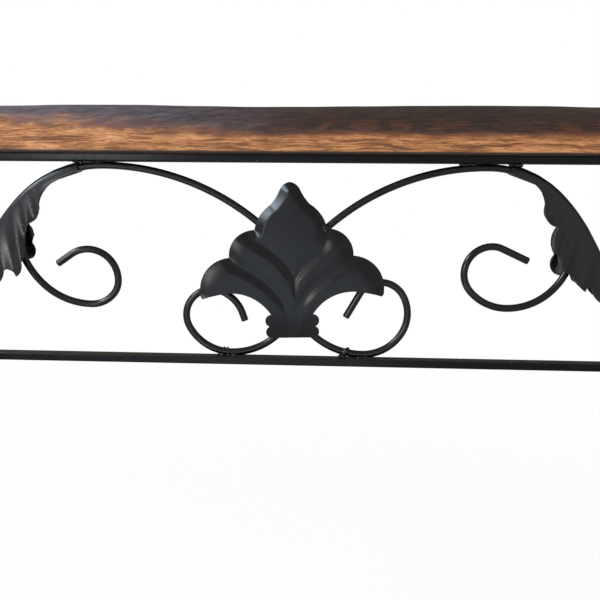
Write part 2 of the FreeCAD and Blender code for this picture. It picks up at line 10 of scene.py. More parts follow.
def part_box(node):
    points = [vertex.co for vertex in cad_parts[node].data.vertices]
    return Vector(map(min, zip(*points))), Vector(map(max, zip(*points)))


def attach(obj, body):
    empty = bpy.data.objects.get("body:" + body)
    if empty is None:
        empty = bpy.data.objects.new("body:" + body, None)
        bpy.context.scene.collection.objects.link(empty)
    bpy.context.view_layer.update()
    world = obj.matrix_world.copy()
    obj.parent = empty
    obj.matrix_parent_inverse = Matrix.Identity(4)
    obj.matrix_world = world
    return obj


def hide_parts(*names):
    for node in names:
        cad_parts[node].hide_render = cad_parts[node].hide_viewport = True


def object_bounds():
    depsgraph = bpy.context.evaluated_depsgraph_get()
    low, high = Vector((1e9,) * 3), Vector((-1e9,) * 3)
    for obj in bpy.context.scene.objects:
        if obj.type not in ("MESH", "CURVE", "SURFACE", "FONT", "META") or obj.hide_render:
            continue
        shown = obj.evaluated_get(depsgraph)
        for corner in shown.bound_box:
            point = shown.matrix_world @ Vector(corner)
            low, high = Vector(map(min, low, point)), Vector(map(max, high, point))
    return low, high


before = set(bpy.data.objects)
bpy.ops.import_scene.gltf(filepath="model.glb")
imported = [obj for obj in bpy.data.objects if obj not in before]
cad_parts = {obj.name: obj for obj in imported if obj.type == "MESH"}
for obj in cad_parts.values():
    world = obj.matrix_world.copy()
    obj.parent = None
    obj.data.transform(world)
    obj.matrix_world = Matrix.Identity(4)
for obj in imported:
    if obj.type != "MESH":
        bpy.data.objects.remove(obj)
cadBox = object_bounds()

scene = bpy.context.scene
scene.view_settings.view_transform = "Standard"
millimetre = 0.001
mergeDistance = 0.002 * millimetre
fewestSteps = 3  # of a bend or an arc
white = (1.0, 1.0, 1.0, 1.0)


def srgb(red, green, blue):
    # 0-255 screen colour to the linear values that a socket takes
    linear = []
    for value in (red, green, blue):
        value = value / 255
        linear.append(value / 12.92 if value <= 0.04045 else ((value + 0.055) / 1.055) ** 2.4)
    return (*linear, 1.0)


def smoothStep(share):
    return share * share * (3 - 2 * share)


def curvePoint(values, i, t):
    # on a smooth curve through all the values, between value i and the next
    last = len(values) - 1
    before, first, second, after = (values[max(0, min(k, last))] for k in range(i - 1, i + 3))
    return 0.5 * (2 * first + (second - before) * t + (2 * before - 5 * first + 4 * second - after) * t * t
                  + (3 * first - before - 3 * second + after) * t ** 3)


def newObject(name, data):
    holder = bpy.data.objects.new(name, data)
    scene.collection.objects.link(holder)
    return holder


def swing(centre, spoke, turn, gap):
    # evenly spaced points of an arc, as complex numbers
    steps = max(fewestSteps, round(abs(turn * spoke) / gap))
    return [centre + spoke * cmath.rect(1, turn * k / steps) for k in range(steps + 1)]


class NodeDesk:
    # lays out a node tree: plain values are set on the sockets, and sockets are linked to them
    def __init__(self, tree):
        self.tree = tree

    def add(self, kind, settings=None, **inputs):
        node = self.tree.nodes.new(kind)
        for name, value in (settings or {}).items():
            setattr(node, name, value)
        for name, value in inputs.items():
            self.put(node, name, value)
        return node

    def out(self, kind, settings=None, **inputs):
        return self.add(kind, settings, **inputs).outputs[0]

    def put(self, node, name, value):
        # i0, i1 and so on stand for the numbers of inputs
        numbered = name[0] == "i" and name[1:].isdigit()
        socket = node.inputs[int(name[1:]) if numbered else name.replace("_", " ")]
        if isinstance(value, bpy.types.NodeSocket):
            self.tree.links.new(value, socket)
        else:
            socket.default_value = value

    def math(self, operation, first, second=0.0, third=0.0):
        return self.out("ShaderNodeMath", {"operation": operation}, i0=first, i1=second, i2=third)

    def plus(self, first, second):
        return self.math("ADD", first, second)

    def times(self, first, second):
        return self.math("MULTIPLY", first, second)

    def timesPlus(self, first, second, third):
        return self.math("MULTIPLY_ADD", first, second, third)

    def vector(self, operation, first, second):
        return self.out("ShaderNodeVectorMath", {"operation": operation}, i0=first, i1=second)

    def scale(self, vector, factor):
        return self.out("ShaderNodeVectorMath", {"operation": "SCALE"}, i0=vector, Scale=factor)

    def length(self, vector):
        return self.add("ShaderNodeVectorMath", {"operation": "LENGTH"}, i0=vector).outputs["Value"]

    def xyz(self, x=0.0, y=0.0, z=0.0):
        return self.out("ShaderNodeCombineXYZ", X=x, Y=y, Z=z)

    def part(self, vector, axis):
        return self.add("ShaderNodeSeparateXYZ", Vector=vector).outputs[axis]

    def facing(self, axis):
        return self.part(self.add("ShaderNodeNewGeometry").outputs["Normal"], axis)

    def attribute(self, name):
        return self.add("ShaderNodeAttribute", {"attribute_name": name}).outputs["Fac"]

    def noise(self, vector, scale, detail, roughness):
        return self.add("ShaderNodeTexNoise", Vector=vector, Scale=scale, Detail=detail,
                        Roughness=roughness).outputs["Fac"]

    def streaks(self, vector, stretch, shift, detail, roughness):
        moved = self.vector("ADD", self.vector("MULTIPLY", vector, stretch), shift)
        return self.noise(moved, 1.0, detail, roughness)

    def wander(self, vector, stretch):
        # three slow values around zero
        slow = self.vector("MULTIPLY", vector, stretch)
        shift = self.add("ShaderNodeTexNoise", Vector=slow, Scale=1.0, Detail=2.0).outputs["Color"]
        return self.vector("SUBTRACT", shift, (0.5, 0.5, 0.5))

    def span(self, value, low, high, newLow=0.0, newHigh=1.0, smooth=True):
        kind = "SMOOTHSTEP" if smooth else "LINEAR"
        return self.out("ShaderNodeMapRange", {"interpolation_type": kind}, Value=value,
                        From_Min=low, From_Max=high, To_Min=newLow, To_Max=newHigh)

    def mix(self, share, first, second):
        return self.add("ShaderNodeMix", {"data_type": "RGBA"}, i0=share, i6=first, i7=second).outputs[2]

    def cover(self, under, value, low, high, share, colour):
        # lays a colour over the others where a value is high
        return self.mix(self.times(self.span(value, low, high), share), under, colour)

    def threeTones(self, value, low, high, dark, middle, light):
        half = (low + high) / 2
        lower = self.mix(self.span(value, low, half, smooth=False), dark, middle)
        return self.mix(self.span(value, half, high, smooth=False), lower, light)

    def joined(self, *shapes):
        node = self.add("GeometryNodeJoinGeometry")
        for shape in shapes:
            self.tree.links.new(shape, node.inputs[0])
        return node.outputs[0]


def clearNodes(owner):
    owner.use_nodes = True
    owner.node_tree.nodes.clear()
    return NodeDesk(owner.node_tree)


def newTree(name, kind, main, numbers, outputs):
    # node group with one main input, named numbers and named outputs
    tree = bpy.data.node_groups.new(name, kind)
    tree.interface.new_socket(main, in_out="INPUT", socket_type="NodeSocket" + main)
    for label, value in numbers.items():
        number = "NodeSocketInt" if isinstance(value, int) else "NodeSocketFloat"
        tree.interface.new_socket(label, in_out="INPUT", socket_type=number).default_value = value
    for label in outputs:
        result = "NodeSocketGeometry" if label == "Geometry" else "NodeSocketFloat"
        tree.interface.new_socket(label, in_out="OUTPUT", socket_type=result)
    desk = NodeDesk(tree)
    return tree, desk, desk.add("NodeGroupInput").outputs, desk.add("NodeGroupOutput")


def newMaterial(name):
    material = bpy.data.materials.new(name)
    desk = clearNodes(material)
    surface = desk.add("ShaderNodeBsdfPrincipled")
    desk.add("ShaderNodeOutputMaterial", Surface=surface.outputs[0])
    return material, desk, surface, desk.add("ShaderNodeTexCoord").outputs["Object"]


def dress(desk, surface, colour, roughness, specular, height, strength, distance):
    desk.put(surface, "Base Color", colour)
    desk.put(surface, "Roughness", roughness)
    desk.put(surface, "Specular IOR Level", specular)
    bump = desk.out("ShaderNodeBump", Height=height, Strength=strength, Distance=distance)
    desk.put(surface, "Normal", bump)


woodMarks = {
    "numbers": {"Fibre Length": 26.0, "Fibre Width": 0.9, "Waviness": 7.5},  # millimetres
    "slowBend": (0.021, 0.02, 0.02),
    "quickBend": (0.05, 0.1, 0.1),
    "quickShare": 0.12,
    # noise of each mark: stretch, shift, detail and roughness
    "Fibre": ((1.0, 1.0, 1.0), (0.0, 0.0, 0.0), 3.0, 0.6),
    "Strand": ((0.62, 0.36, 0.36), (3.0, 8.0, 1.0), 2.0, 0.5),
    "Fleck": ((5.0, 1.3, 1.3), (0.0, 0.0, 0.0), 2.0, 0.6),
    "Patch": ((0.022, 0.13, 0.13), (0.0, 0.0, 0.0), 2.0, 0.5),
    "Smudge": ((0.05, 0.2, 0.2), (7.0, 3.0, 5.0), 3.0, 0.6),
    "Brush": ((0.04, 0.4, 0.4), (0.0, 0.0, 0.0), 3.0, 0.55),
    "Tongue": ((0.07, 0.1, 0.1), (0.0, 0.0, 0.0), 3.0, 0.55),
    "brushSlant": (0.0, 0.2, 0.0),
    "heart": (0.0, 30.0, 20.0),  # of the rings on the ends, millimetres
    "ringStretch": (0.1, 1.0, 1.0),
    "ringsPerMillimetre": 0.3,
}


# fibres that wander along the plank, fine flecks, slow patches of tone, smudges, slanting brush marks
# and end rings
def makeWoodGrain():
    marks = ["Fibre", "Strand", "Fleck", "Patch", "Smudge", "Brush", "Tongue"]
    group, desk, given, result = newTree("woodGrain", "ShaderNodeTree", "Vector", woodMarks["numbers"],
                                         marks + ["Ring"])
    place = desk.scale(given["Vector"], 1 / millimetre)
    slow = desk.scale(desk.wander(place, woodMarks["slowBend"]), given["Waviness"])
    slow = desk.vector("MULTIPLY", slow, (0.0, 1.0, 1.0))
    quick = desk.scale(desk.wander(place, woodMarks["quickBend"]),
                       desk.times(given["Waviness"], woodMarks["quickShare"]))
    bent = desk.vector("ADD", place, desk.vector("ADD", slow, quick))
    along, across = (desk.math("DIVIDE", 1.0, given["Fibre " + name]) for name in ("Length", "Width"))
    fibres = desk.vector("MULTIPLY", bent, desk.xyz(along, across, across))
    slanted = desk.out("ShaderNodeMapping", Vector=place, Rotation=woodMarks["brushSlant"])
    for name, where in zip(marks, (fibres, fibres, fibres, bent, bent, slanted, place)):
        desk.put(result, name, desk.streaks(where, *woodMarks[name]))
    axis = desk.vector("SUBTRACT", bent, woodMarks["heart"])
    radius = desk.length(desk.vector("MULTIPLY", axis, woodMarks["ringStretch"]))
    desk.put(result, "Ring", desk.math("FRACT", desk.times(radius, woodMarks["ringsPerMillimetre"])))
    return group


paintWear = {
    "numbers": {"Mottle Scale": 120.0, "Peel Scale": 900.0, "Speck Scale": 260.0},
    "mottle": (3.0, 0.6),  # detail and roughness
    "peel": (2.0, 0.5),
    "speckEdge": (0.10, 0.18),
    "speckRarity": 0.93,
    "peelHeight": 0.7,
    "mottleHeight": 0.6,
    "speckHeight": 0.5,
    "bumpDistance": 0.0002,
    "thinRange": (0.35, 0.75),
    "thinGain": 1.7,  # how much lighter thin paint is
    "speckShare": 0.3,
    "speckColour": srgb(110, 112, 116),
    "satinRange": (0.3, 0.7),
    "levelRange": (0.6, 0.9),
    "levelMatt": 0.6,
    # warm brown on upper faces, a painted reflection
    "dust": (0.6, 0.9, 0.75, srgb(46, 39, 31)),  # from, to, share and colour
}


# uneven satin of brushed-on paint, with dust specks
def makePaintMottle():
    group, desk, given, result = newTree("paintMottle", "ShaderNodeTree", "Vector", paintWear["numbers"],
                                         ["Mottle", "Speck", "Height"])
    place = given["Vector"]
    mottle = desk.noise(place, given["Mottle Scale"], *paintWear["mottle"])
    peel = desk.noise(place, given["Peel Scale"], *paintWear["peel"])
    cells = desk.add("ShaderNodeTexVoronoi", Vector=place, Scale=given["Speck Scale"]).outputs
    drawn = desk.out("ShaderNodeSeparateColor", Color=cells["Color"])
    near = desk.span(cells["Distance"], *paintWear["speckEdge"], 1.0, 0.0)
    speck = desk.times(near, desk.math("GREATER_THAN", drawn, paintWear["speckRarity"]))
    height = desk.timesPlus(mottle, paintWear["mottleHeight"], desk.times(peel, paintWear["peelHeight"]))
    height = desk.timesPlus(speck, paintWear["speckHeight"], height)
    for name, value in (("Mottle", mottle), ("Speck", speck), ("Height", height)):
        desk.put(result, name, value)
    return group


woodGrain = makeWoodGrain()
paintMottle = makePaintMottle()

# where there is a pair for the left and the right, the plank turns from one to the other
plankFinish = {
    "woodDark": srgb(104, 64, 37),
    "woodMiddle": srgb(168, 110, 67),
    "woodLight": srgb(206, 144, 94),
    # the left end is paler: partly the wood's own tone, partly painted light falling from the left
    "woodPaleAndLit": srgb(206, 153, 104),  # left end
    "ring": srgb(86, 54, 35),
    "toasted": srgb(106, 60, 38),
    # scorched band at the left: dark char with a painted bluish sheen of cool light
    "leftChar": (srgb(60, 54, 59), srgb(75, 68, 73), srgb(91, 82, 86)),
    "rightChar": (srgb(32, 23, 18), srgb(42, 30, 24), srgb(60, 41, 32)),
    # dark line along the upper edge, and painted shade along the lower front edge over the top rail
    "rim": srgb(34, 29, 27),
    "turn": (-0.15, 0.02),  # metres along the plank over which left becomes right
    "turnWander": 0.12,
    "toneShift": (-0.025, 0.0),
    "patchTone": 0.5,
    "strandTone": 0.55,
    "toneRange": (0.3, 0.7),
    "fleck": (0.53, 0.66, 0.6, srgb(86, 54, 35)),  # from, to, share and colour
    "smudge": (0.57, 0.72, 0.55, srgb(90, 62, 43)),
    "fleckDepth": 0.4,
    "endFacing": 0.75,
    "ringPower": 2.0,
    "ringShare": (0.45, 0.25),  # what the rings add, and what the ends have between them
    "raggedPatch": (8.0, 4.0),  # millimetres, left and right
    "raggedStrand": (9.0, 4.0),
    "raggedFibre": (9.0, 3.0),
    "raggedTongue": (18.0, 6.0),
    "bandDrop": (0.8, 2.8),  # how far the band reaches below the bevel
    "softness": (9.0, 2.6),
    "scorchRange": (-0.7, 1.0),
    "toastReach": (-3.0, 0.5),  # millimetres above the edge of the band
    "toastRange": (0.36, 0.56),
    "toastShare": 0.85,
    "brushShare": (1.0, 0.3),
    "markShare": 0.5,  # of fibres and flecks in the scorched band
    "charRange": (0.36, 0.64),
    "redness": (0.25, 0.5),  # of the scorched band near its edge
    "redFibre": 0.6,
    "redRange": (0.42, 0.7),
    "redReach": (14.0, 2.0),
    "rimShare": 0.8,
    "roughness": (0.62, 0.46),  # plain and scorched
    "specular": 0.2,
    "bump": (0.4, 0.0005),  # strength and distance
}


def makePlankWood():
    finish = plankFinish
    material, desk, surface, place = newMaterial("stainedPlank")
    grain = desk.add("ShaderNodeGroup", {"node_tree": woodGrain}, Vector=place).outputs
    shift = {name: desk.math("SUBTRACT", grain[name], 0.5)
             for name in ("Patch", "Strand", "Fibre", "Tongue", "Brush", "Fleck")}
    across = desk.timesPlus(shift["Patch"], finish["turnWander"], desk.part(place, "X"))
    rightward = desk.span(across, *finish["turn"])

    def leftToRight(name):
        return desk.span(rightward, 0.0, 1.0, *finish[name], False)

    tone = desk.timesPlus(shift["Patch"], finish["patchTone"], grain["Fibre"])
    tone = desk.timesPlus(shift["Strand"], finish["strandTone"], tone)
    tone = desk.plus(tone, leftToRight("toneShift"))
    # paler towards the left end, partly painted light
    light = desk.mix(rightward, finish["woodPaleAndLit"], finish["woodLight"])
    wood = desk.threeTones(tone, *finish["toneRange"], finish["woodDark"], finish["woodMiddle"], light)
    wood = desk.cover(wood, grain["Fleck"], *finish["fleck"])
    wood = desk.cover(wood, grain["Smudge"], *finish["smudge"])
    # end grain shows rings and soaks up more stain
    endFace = desk.math("GREATER_THAN", desk.math("ABSOLUTE", desk.facing("X")), finish["endFacing"])
    ringed = desk.timesPlus(desk.math("POWER", grain["Ring"], finish["ringPower"]), *finish["ringShare"])
    wood = desk.mix(desk.times(endFace, ringed), wood, finish["ring"])
    # millimetres above the lower edge of the scorched band, made ragged along the fibres
    above = desk.attribute("scorch")
    for name in ("Patch", "Strand", "Fibre", "Tongue"):
        above = desk.timesPlus(shift[name], leftToRight("ragged" + name), above)
    above = desk.plus(above, leftToRight("bandDrop"))
    scorched = desk.span(desk.math("DIVIDE", above, leftToRight("softness")), *finish["scorchRange"])
    toast = desk.times(desk.span(above, *finish["toastReach"]), finish["toastShare"])
    wood = desk.cover(wood, grain["Patch"], *finish["toastRange"], toast, finish["toasted"])
    brushed = desk.times(shift["Brush"], leftToRight("brushShare"))
    mark = desk.plus(desk.timesPlus(shift["Fibre"], finish["markShare"], brushed),
                     desk.timesPlus(shift["Fleck"], finish["markShare"], 0.5))
    # the char at the left carries a painted bluish sheen
    chars = [desk.threeTones(mark, *finish["charRange"], *finish[name]) for name in ("leftChar", "rightChar")]
    char = desk.mix(rightward, *chars)
    red = desk.span(desk.timesPlus(shift["Fibre"], finish["redFibre"], grain["Tongue"]), *finish["redRange"])
    red = desk.times(red, desk.span(above, *finish["redReach"]))
    char = desk.mix(desk.times(red, leftToRight("redness")), char, finish["toasted"])
    wood = desk.mix(scorched, wood, char)
    # dark line along the upper edge, and painted shade along the lower front edge
    wood = desk.mix(desk.times(desk.attribute("rim"), finish["rimShare"]), wood, finish["rim"])
    roughness = desk.span(scorched, 0.0, 1.0, *finish["roughness"], False)
    height = desk.math("SUBTRACT", grain["Fibre"], desk.times(grain["Fleck"], finish["fleckDepth"]))
    dress(desk, surface, wood, roughness, finish["specular"], height, *finish["bump"])
    return material


paints = {
    # colour, specular level, roughness, its spread, strength of the peel, mottle scale, matt level faces with
    # a painted warm reflection on the upper ones
    "blackBarPaint": (srgb(10, 10, 11), 0.09, 0.32, 0.04, 0.08, 90.0, True),
    "blackWirePaint": (srgb(8, 8, 8), 0.19, 0.2, 0.03, 0.03, 140.0, False),
    "blackLeafPaint": (srgb(12, 12, 15), 0.21, 0.32, 0.04, 0.03, 80.0, False),
    "blackSheetPaint": (srgb(10, 10, 12), 0.15, 0.31, 0.04, 0.05, 110.0, False),
    "blackWeldPaint": (srgb(8, 8, 8), 0.22, 0.18, 0.04, 0.2, 300.0, False),
}


def makePaint(name, colour, specular, roughness, spread, peel, mottleScale, dusty):
    wear = paintWear
    material, desk, surface, place = newMaterial(name)
    group = {"node_tree": paintMottle}
    marks = desk.add("ShaderNodeGroup", group, Vector=place, Mottle_Scale=mottleScale).outputs
    thin = tuple(wear["thinGain"] * value for value in colour[:3]) + (1.0,)
    worn = desk.mix(desk.span(marks["Mottle"], *wear["thinRange"]), colour, thin)
    worn = desk.mix(desk.times(marks["Speck"], wear["speckShare"]), worn, wear["speckColour"])
    satin = desk.span(marks["Mottle"], *wear["satinRange"], roughness - spread, roughness + spread, False)
    if dusty:
        # level faces are matt, and the upper ones get a warm brown, a painted reflection
        slope = desk.facing("Z")
        level = desk.span(desk.math("ABSOLUTE", slope), *wear["levelRange"])
        satin = desk.timesPlus(level, wear["levelMatt"], satin)
        worn = desk.cover(worn, slope, *wear["dust"])
    dress(desk, surface, worn, satin, specular, marks["Height"], peel, wear["bumpDistance"])
    return material


plankWood = makePlankWood()
allPaints = (makePaint(name, *paint) for name, paint in paints.items())
barPaint, wirePaint, leafPaint, sheetPaint, weldPaint = allPaints
print("materials made")


def newPiece(name, mesh, material, slot, *nodes):
    piece = newObject(name, mesh)
    mesh.materials.clear()
    mesh.materials.append(material)
    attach(piece, "root")
    if nodes:
        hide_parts(*nodes)
    return piece


def mergedCopy(node):
    bm = bmesh.new()
    bm.from_mesh(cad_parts[node].data)
    bmesh.ops.remove_doubles(bm, verts=bm.verts, dist=mergeDistance)
    return bm


def toMesh(bm, name):
    mesh = bpy.data.meshes.new(name)
    bm.to_mesh(mesh)
    bm.free()
    return mesh


def joinRings(bm, rings):
    for first, second in zip(rings, rings[1:]):
        for k in range(len(first)):
            after = (k + 1) % len(first)
            bm.faces.new((first[k], second[k], second[after], first[after]))


def sweptMesh(bm, name):
    # smooth along the sides and flat on the ends
    bmesh.ops.recalc_face_normals(bm, faces=bm.faces)
    for face in bm.faces:
        face.smooth = len(face.verts) == 4
    return toMesh(bm, name)


def throughModifier(name, mesh, kind, settings, inputs=None):
    # plain mesh that a modifier makes of another one
    holder = newObject(name + "Source", mesh)
    modifier = holder.modifiers.new(name, kind)
    for label, value in settings.items():
        setattr(modifier, label, value)
    for identifier, value in (inputs or {}).items():
        modifier[identifier] = value
    made = bpy.data.meshes.new_from_object(holder.evaluated_get(bpy.context.evaluated_depsgraph_get()))
    holder.modifiers.remove(modifier)
    bpy.data.objects.remove(holder)
    made.name = name
    return made


plank = {
    "stations": 430,  # sections along its length
    # rows of points round a section
    "rows": {"under": 6, "front": 14, "bevel": 14, "top": 25, "back": 5, "corner": 3},
    "topCrowding": 1.4,  # the rows on the top are closer near the bevel
    "bevelRun": 9.0 * millimetre,  # depth of the scorched round-over
    "bevelHeights": [10.0, 9.0, 12.0, 17.0, 15.5, 17.0, 14.5, 16.0],  # millimetres, from the left end
    "bulge": 1.6 * millimetre,
    "edgeRound": 1.0 * millimetre,
    "cornerShare": 0.3,  # of the rounding, where a corner has one point
    "planedFrom": 6,  # millimetres behind the bevel
    "dipReach": 40,
    # hewn unevenness: mean depth in millimetres, scale along the plank and across it, and layer
    "frontWaves": (0.175, 30, 260, 3.0),
    "bevelWaves": (0.21, 45, 3.0, 9.0),
    "topWaves": (0.075, 14, 60, 1.0),
    "shallowEnds": 0.25,  # share of it that the edges of the bevel keep
    "rimWidth": 1.6 * millimetre,  # dark line along the upper edge
    # painted shade along the lower front edge, where the plank sits over the top rail
    "shadedLowerEdge": 1.2,  # darkness of the lower front edge
    "unburnt": -30.0,  # millimetres from the scorched band
    "endScorch": -4.0,  # most that the ends have of it
    "topFade": 22.0,  # millimetres of scorch on the top face
    "topFadeDepth": 12.0,
    # (place along the plank, how far the hewn front edge dips), millimetres
    "topDips": [(-320, 0.3), (-250, 0.9), (-184, 0.75), (-148, 0.08), (-105, 0.03), (-60, 0.75), (-25, 1.15),
                (4, 1.0), (42, 0.6), (80, 0.2), (118, 0.0), (156, 0.15), (190, 0.83), (250, 0.3), (320, 0.7)],
}


def bevelHeight(share):
    heights = plank["bevelHeights"]
    at = share * (len(heights) - 1)
    i = min(int(at), len(heights) - 2)
    return curvePoint(heights, i, at - i) * millimetre


def topDip(x):
    dips = plank["topDips"]
    place = x / millimetre
    for (first, before), (second, after) in zip(dips, dips[1:]):
        if place <= second:
            share = smoothStep(max(0.0, (place - first) / (second - first)))
            return (before + (after - before) * share) * millimetre
    return dips[-1][1] * millimetre


def hewn(along, across, waves):
    depth, alongScale, acrossScale, layer = plank[waves]
    return depth * millimetre * (1 + noise.noise(Vector((along * alongScale, across * acrossScale, layer))))


def plankSection(x, share, low, high):
    # (y, z, scorch, rim) round the section, from the back of the underside to the front, over the top
    # and down the back
    rows, rounding, unburnt = (plank[name] for name in ("rows", "edgeRound", "unburnt"))
    front, back, bottom, top = low.y, high.y, low.z, high.z
    section = []

    def put(y, z, scorch, rim=0.0):
        section.append((y, z, scorch, rim))

    def putCorner(y, z, heading, steps, rim=0.0):
        for k in steps:
            angle = math.radians(heading - 90 * k / rows["corner"])
            put(y + rounding * math.cos(angle), z + rounding * math.sin(angle), unburnt, rim)

    put(back - rounding, bottom, unburnt)
    for k in range(1, rows["under"]):
        put(back + (front - back) * k / rows["under"], bottom, unburnt)
    # the lower front corner gets the painted shade over the top rail
    putCorner(front + rounding, bottom + rounding, 270, range(rows["corner"] + 1), plank["shadedLowerEdge"])
    bevelStart = top - bevelHeight(share)
    for k in range(1, rows["front"]):
        z = bottom + rounding + (bevelStart - bottom - rounding) * k / rows["front"]
        put(front + hewn(x, z, "frontWaves"), z, (z - bevelStart) / millimetre)
    bevelEnd = front + plank["bevelRun"]
    dipped = topDip(x)
    lowEnd = Vector((front, bevelStart))
    chord = Vector((bevelEnd, top - dipped)) - lowEnd
    outward = Vector((-chord.y, chord.x)).normalized()
    for k in range(rows["bevel"] + 1):
        t = k / rows["bevel"]
        bow = 4 * t * (1 - t)
        dip = hewn(x, t, "bevelWaves") * min(1.0, 1.5 * bow + plank["shallowEnds"])
        place = lowEnd + chord * t + outward * (plank["bulge"] * bow - dip)
        rim = max(0.0, 1 - (1 - t) * chord.length / plank["rimWidth"])
        put(place.x, place.y, t * chord.length / millimetre, rim)
    reach = chord.length / millimetre
    for k in range(1, rows["top"] + 1):
        y = bevelEnd + (back - rounding - bevelEnd) * (k / rows["top"]) ** plank["topCrowding"]
        depth = (y - bevelEnd) / millimetre
        drop = hewn(x, y, "topWaves") * min(1.0, depth / plank["planedFrom"])
        drop += dipped * max(0.0, 1 - depth / plank["dipReach"]) ** 2
        put(y, top - drop, reach - depth * (reach + plank["topFadeDepth"]) / plank["topFade"])
    putCorner(back - rounding, top - rounding, 90, range(1, rows["corner"] + 1))
    for k in range(1, rows["back"] + 1):
        put(back, top - rounding + (bottom - top + 2 * rounding) * k / rows["back"], unburnt)
    put(back - rounding * plank["cornerShare"], bottom + rounding * plank["cornerShare"], unburnt)
    return section


def makePlank():
    low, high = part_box("shelf_board")
    length = high.x - low.x
    bm = bmesh.new()
    scorchLayer, rimLayer = (bm.verts.layers.float.new(name) for name in ("scorch", "rim"))
    rounding = plank["edgeRound"]
    near = plank["cornerShare"] * rounding
    last = plank["stations"] - 1
    places = [low.x + rounding + (length - 2 * rounding) * (k / last) for k in range(last + 1)]
    # the sections at the ends are smaller
    sections = [(low.x, rounding), (low.x + near, near)] + [(x, 0.0) for x in places]
    sections += [(high.x - near, near), (high.x, rounding)]
    centre = Vector(((low.y + high.y) / 2, (low.z + high.z) / 2))
    rings = []
    for x, shrink in sections:
        ring = []
        for y, z, scorch, rim in plankSection(x, (x - low.x) / length, low, high):
            y += shrink if y < centre.x else -shrink
            z += shrink if z < centre.y else -shrink
            vertex = bm.verts.new((x, y, z))
            vertex[scorchLayer] = scorch
            vertex[rimLayer] = rim
            ring.append(vertex)
        rings.append(ring)
    joinRings(bm, rings)
    for ring, turn in ((rings[0], 1), (rings[-1], -1)):
        cap = []
        for vertex in ring[::turn]:
            copy = bm.verts.new(vertex.co)
            copy[scorchLayer] = min(vertex[scorchLayer], plank["endScorch"])
            cap.append(copy)
        bm.faces.new(cap)
    return newPiece("shelfPlank", sweptMesh(bm, "shelfPlank"), plankWood, "stained_wood", "shelf_board")


shelfPlank = makePlank()
print("plank made:", len(shelfPlank.data.polygons), "faces")

flatBars = {
    "easing": 0.45 * millimetre,  # of the sharp edges
    "easingSteps": 2,
    "sharpAngle": 35.0,
    "levelAngle": 1.0,
    "nodes": ["front_top_rail", "front_bottom_rail", "left_side_top_bar", "right_side_top_bar",
              "left_side_bottom_bar", "right_side_bottom_bar", "left_end_post", "right_end_post",
              "left_wall_upright", "right_wall_upright"],
}


def isSharp(edge):
    return edge.is_manifold and edge.calc_face_angle(0.0) > math.radians(flatBars["sharpAngle"])


def makeBar(node):
    words = node.split("_")
    name = words[0] + "".join(word.title() for word in words[1:])
    bm = mergedCopy(node)
    bmesh.ops.dissolve_degenerate(bm, edges=bm.edges, dist=mergeDistance)
    level = math.radians(flatBars["levelAngle"])
    bmesh.ops.dissolve_limit(bm, angle_limit=level, verts=bm.verts, edges=bm.edges)
    bmesh.ops.bevel(bm, geom=[edge for edge in bm.edges if isSharp(edge)], offset=flatBars["easing"],
                    segments=flatBars["easingSteps"], profile=0.5, affect="EDGES", clamp_overlap=True)
    for face in bm.faces:
        face.smooth = True
    for edge in bm.edges:
        edge.smooth = not isSharp(edge)
    newPiece(name, toMesh(bm, name), barPaint, "black_iron", node)


for node in flatBars["nodes"]:
    makeBar(node)
print("bars made")

leafSheets = {
    "nodes": {"leftLeafSheet": "left_leaf", "rightLeafSheet": "right_leaf"},
    "voxel": 0.45 * millimetre,
    "rimAngle": 62.0,
    "rimWidth": 2.5 * millimetre,
    "startRounds": 3,  # these take the steps of the grid off the rim too
    "rounds": 60,
    "roundShare": 0.5,  # of the way to the middle of the neighbours
}


def rimTree(bm):
    # points along the sharp rim of a sheet
    bm.normal_update()
    marks = []
    for edge in bm.edges:
        if edge.calc_face_angle(0.0) > math.radians(leafSheets["rimAngle"]):
            first, last = (vertex.co.copy() for vertex in edge.verts)
            steps = 1 + int((last - first).length / leafSheets["voxel"])
            marks += [first.lerp(last, k / steps) for k in range(steps + 1)]
    tree = kdtree.KDTree(len(marks))
    for k, mark in enumerate(marks):
        tree.insert(mark, k)
    tree.balance()
    return tree


def makeLeaf(name, node):
    # even mesh of the stamped sheet, with the ridges of its flutes rounded and its rim left in place
    bm = mergedCopy(node)
    tree = rimTree(bm)
    grid = {"mode": "VOXEL", "voxel_size": leafSheets["voxel"]}
    mesh = throughModifier(name, toMesh(bm, name + "Source"), "REMESH", grid)
    count = len(mesh.vertices)
    places = numpy.empty(count * 3)
    mesh.vertices.foreach_get("co", places)
    places = places.reshape(count, 3)
    ends = numpy.empty(len(mesh.edges) * 2, dtype=numpy.int32)
    mesh.edges.foreach_get("vertices", ends)
    first, last = ends.reshape(-1, 2).T
    degree = numpy.bincount(first, minlength=count) + numpy.bincount(last, minlength=count)
    free = numpy.array([min(1.0, tree.find(place)[2] / leafSheets["rimWidth"]) for place in places])
    free = smoothStep(free)
    for k in range(leafSheets["rounds"]):
        sums = [numpy.bincount(first, line[last], count) + numpy.bincount(last, line[first], count)
                for line in places.T]
        around = numpy.stack(sums, axis=1) / degree[:, None]
        share = leafSheets["roundShare"] * (1.0 if k < leafSheets["startRounds"] else free[:, None])
        places = places + share * (around - places)
    mesh.vertices.foreach_set("co", places.ravel())
    mesh.update()
    for face in mesh.polygons:
        face.use_smooth = True
    return newPiece(name, mesh, leafPaint, "black_sheet", node)


for pieceName, node in leafSheets["nodes"].items():
    leaf = makeLeaf(pieceName, node)
    print(pieceName, "made:", len(leaf.data.polygons), "faces")

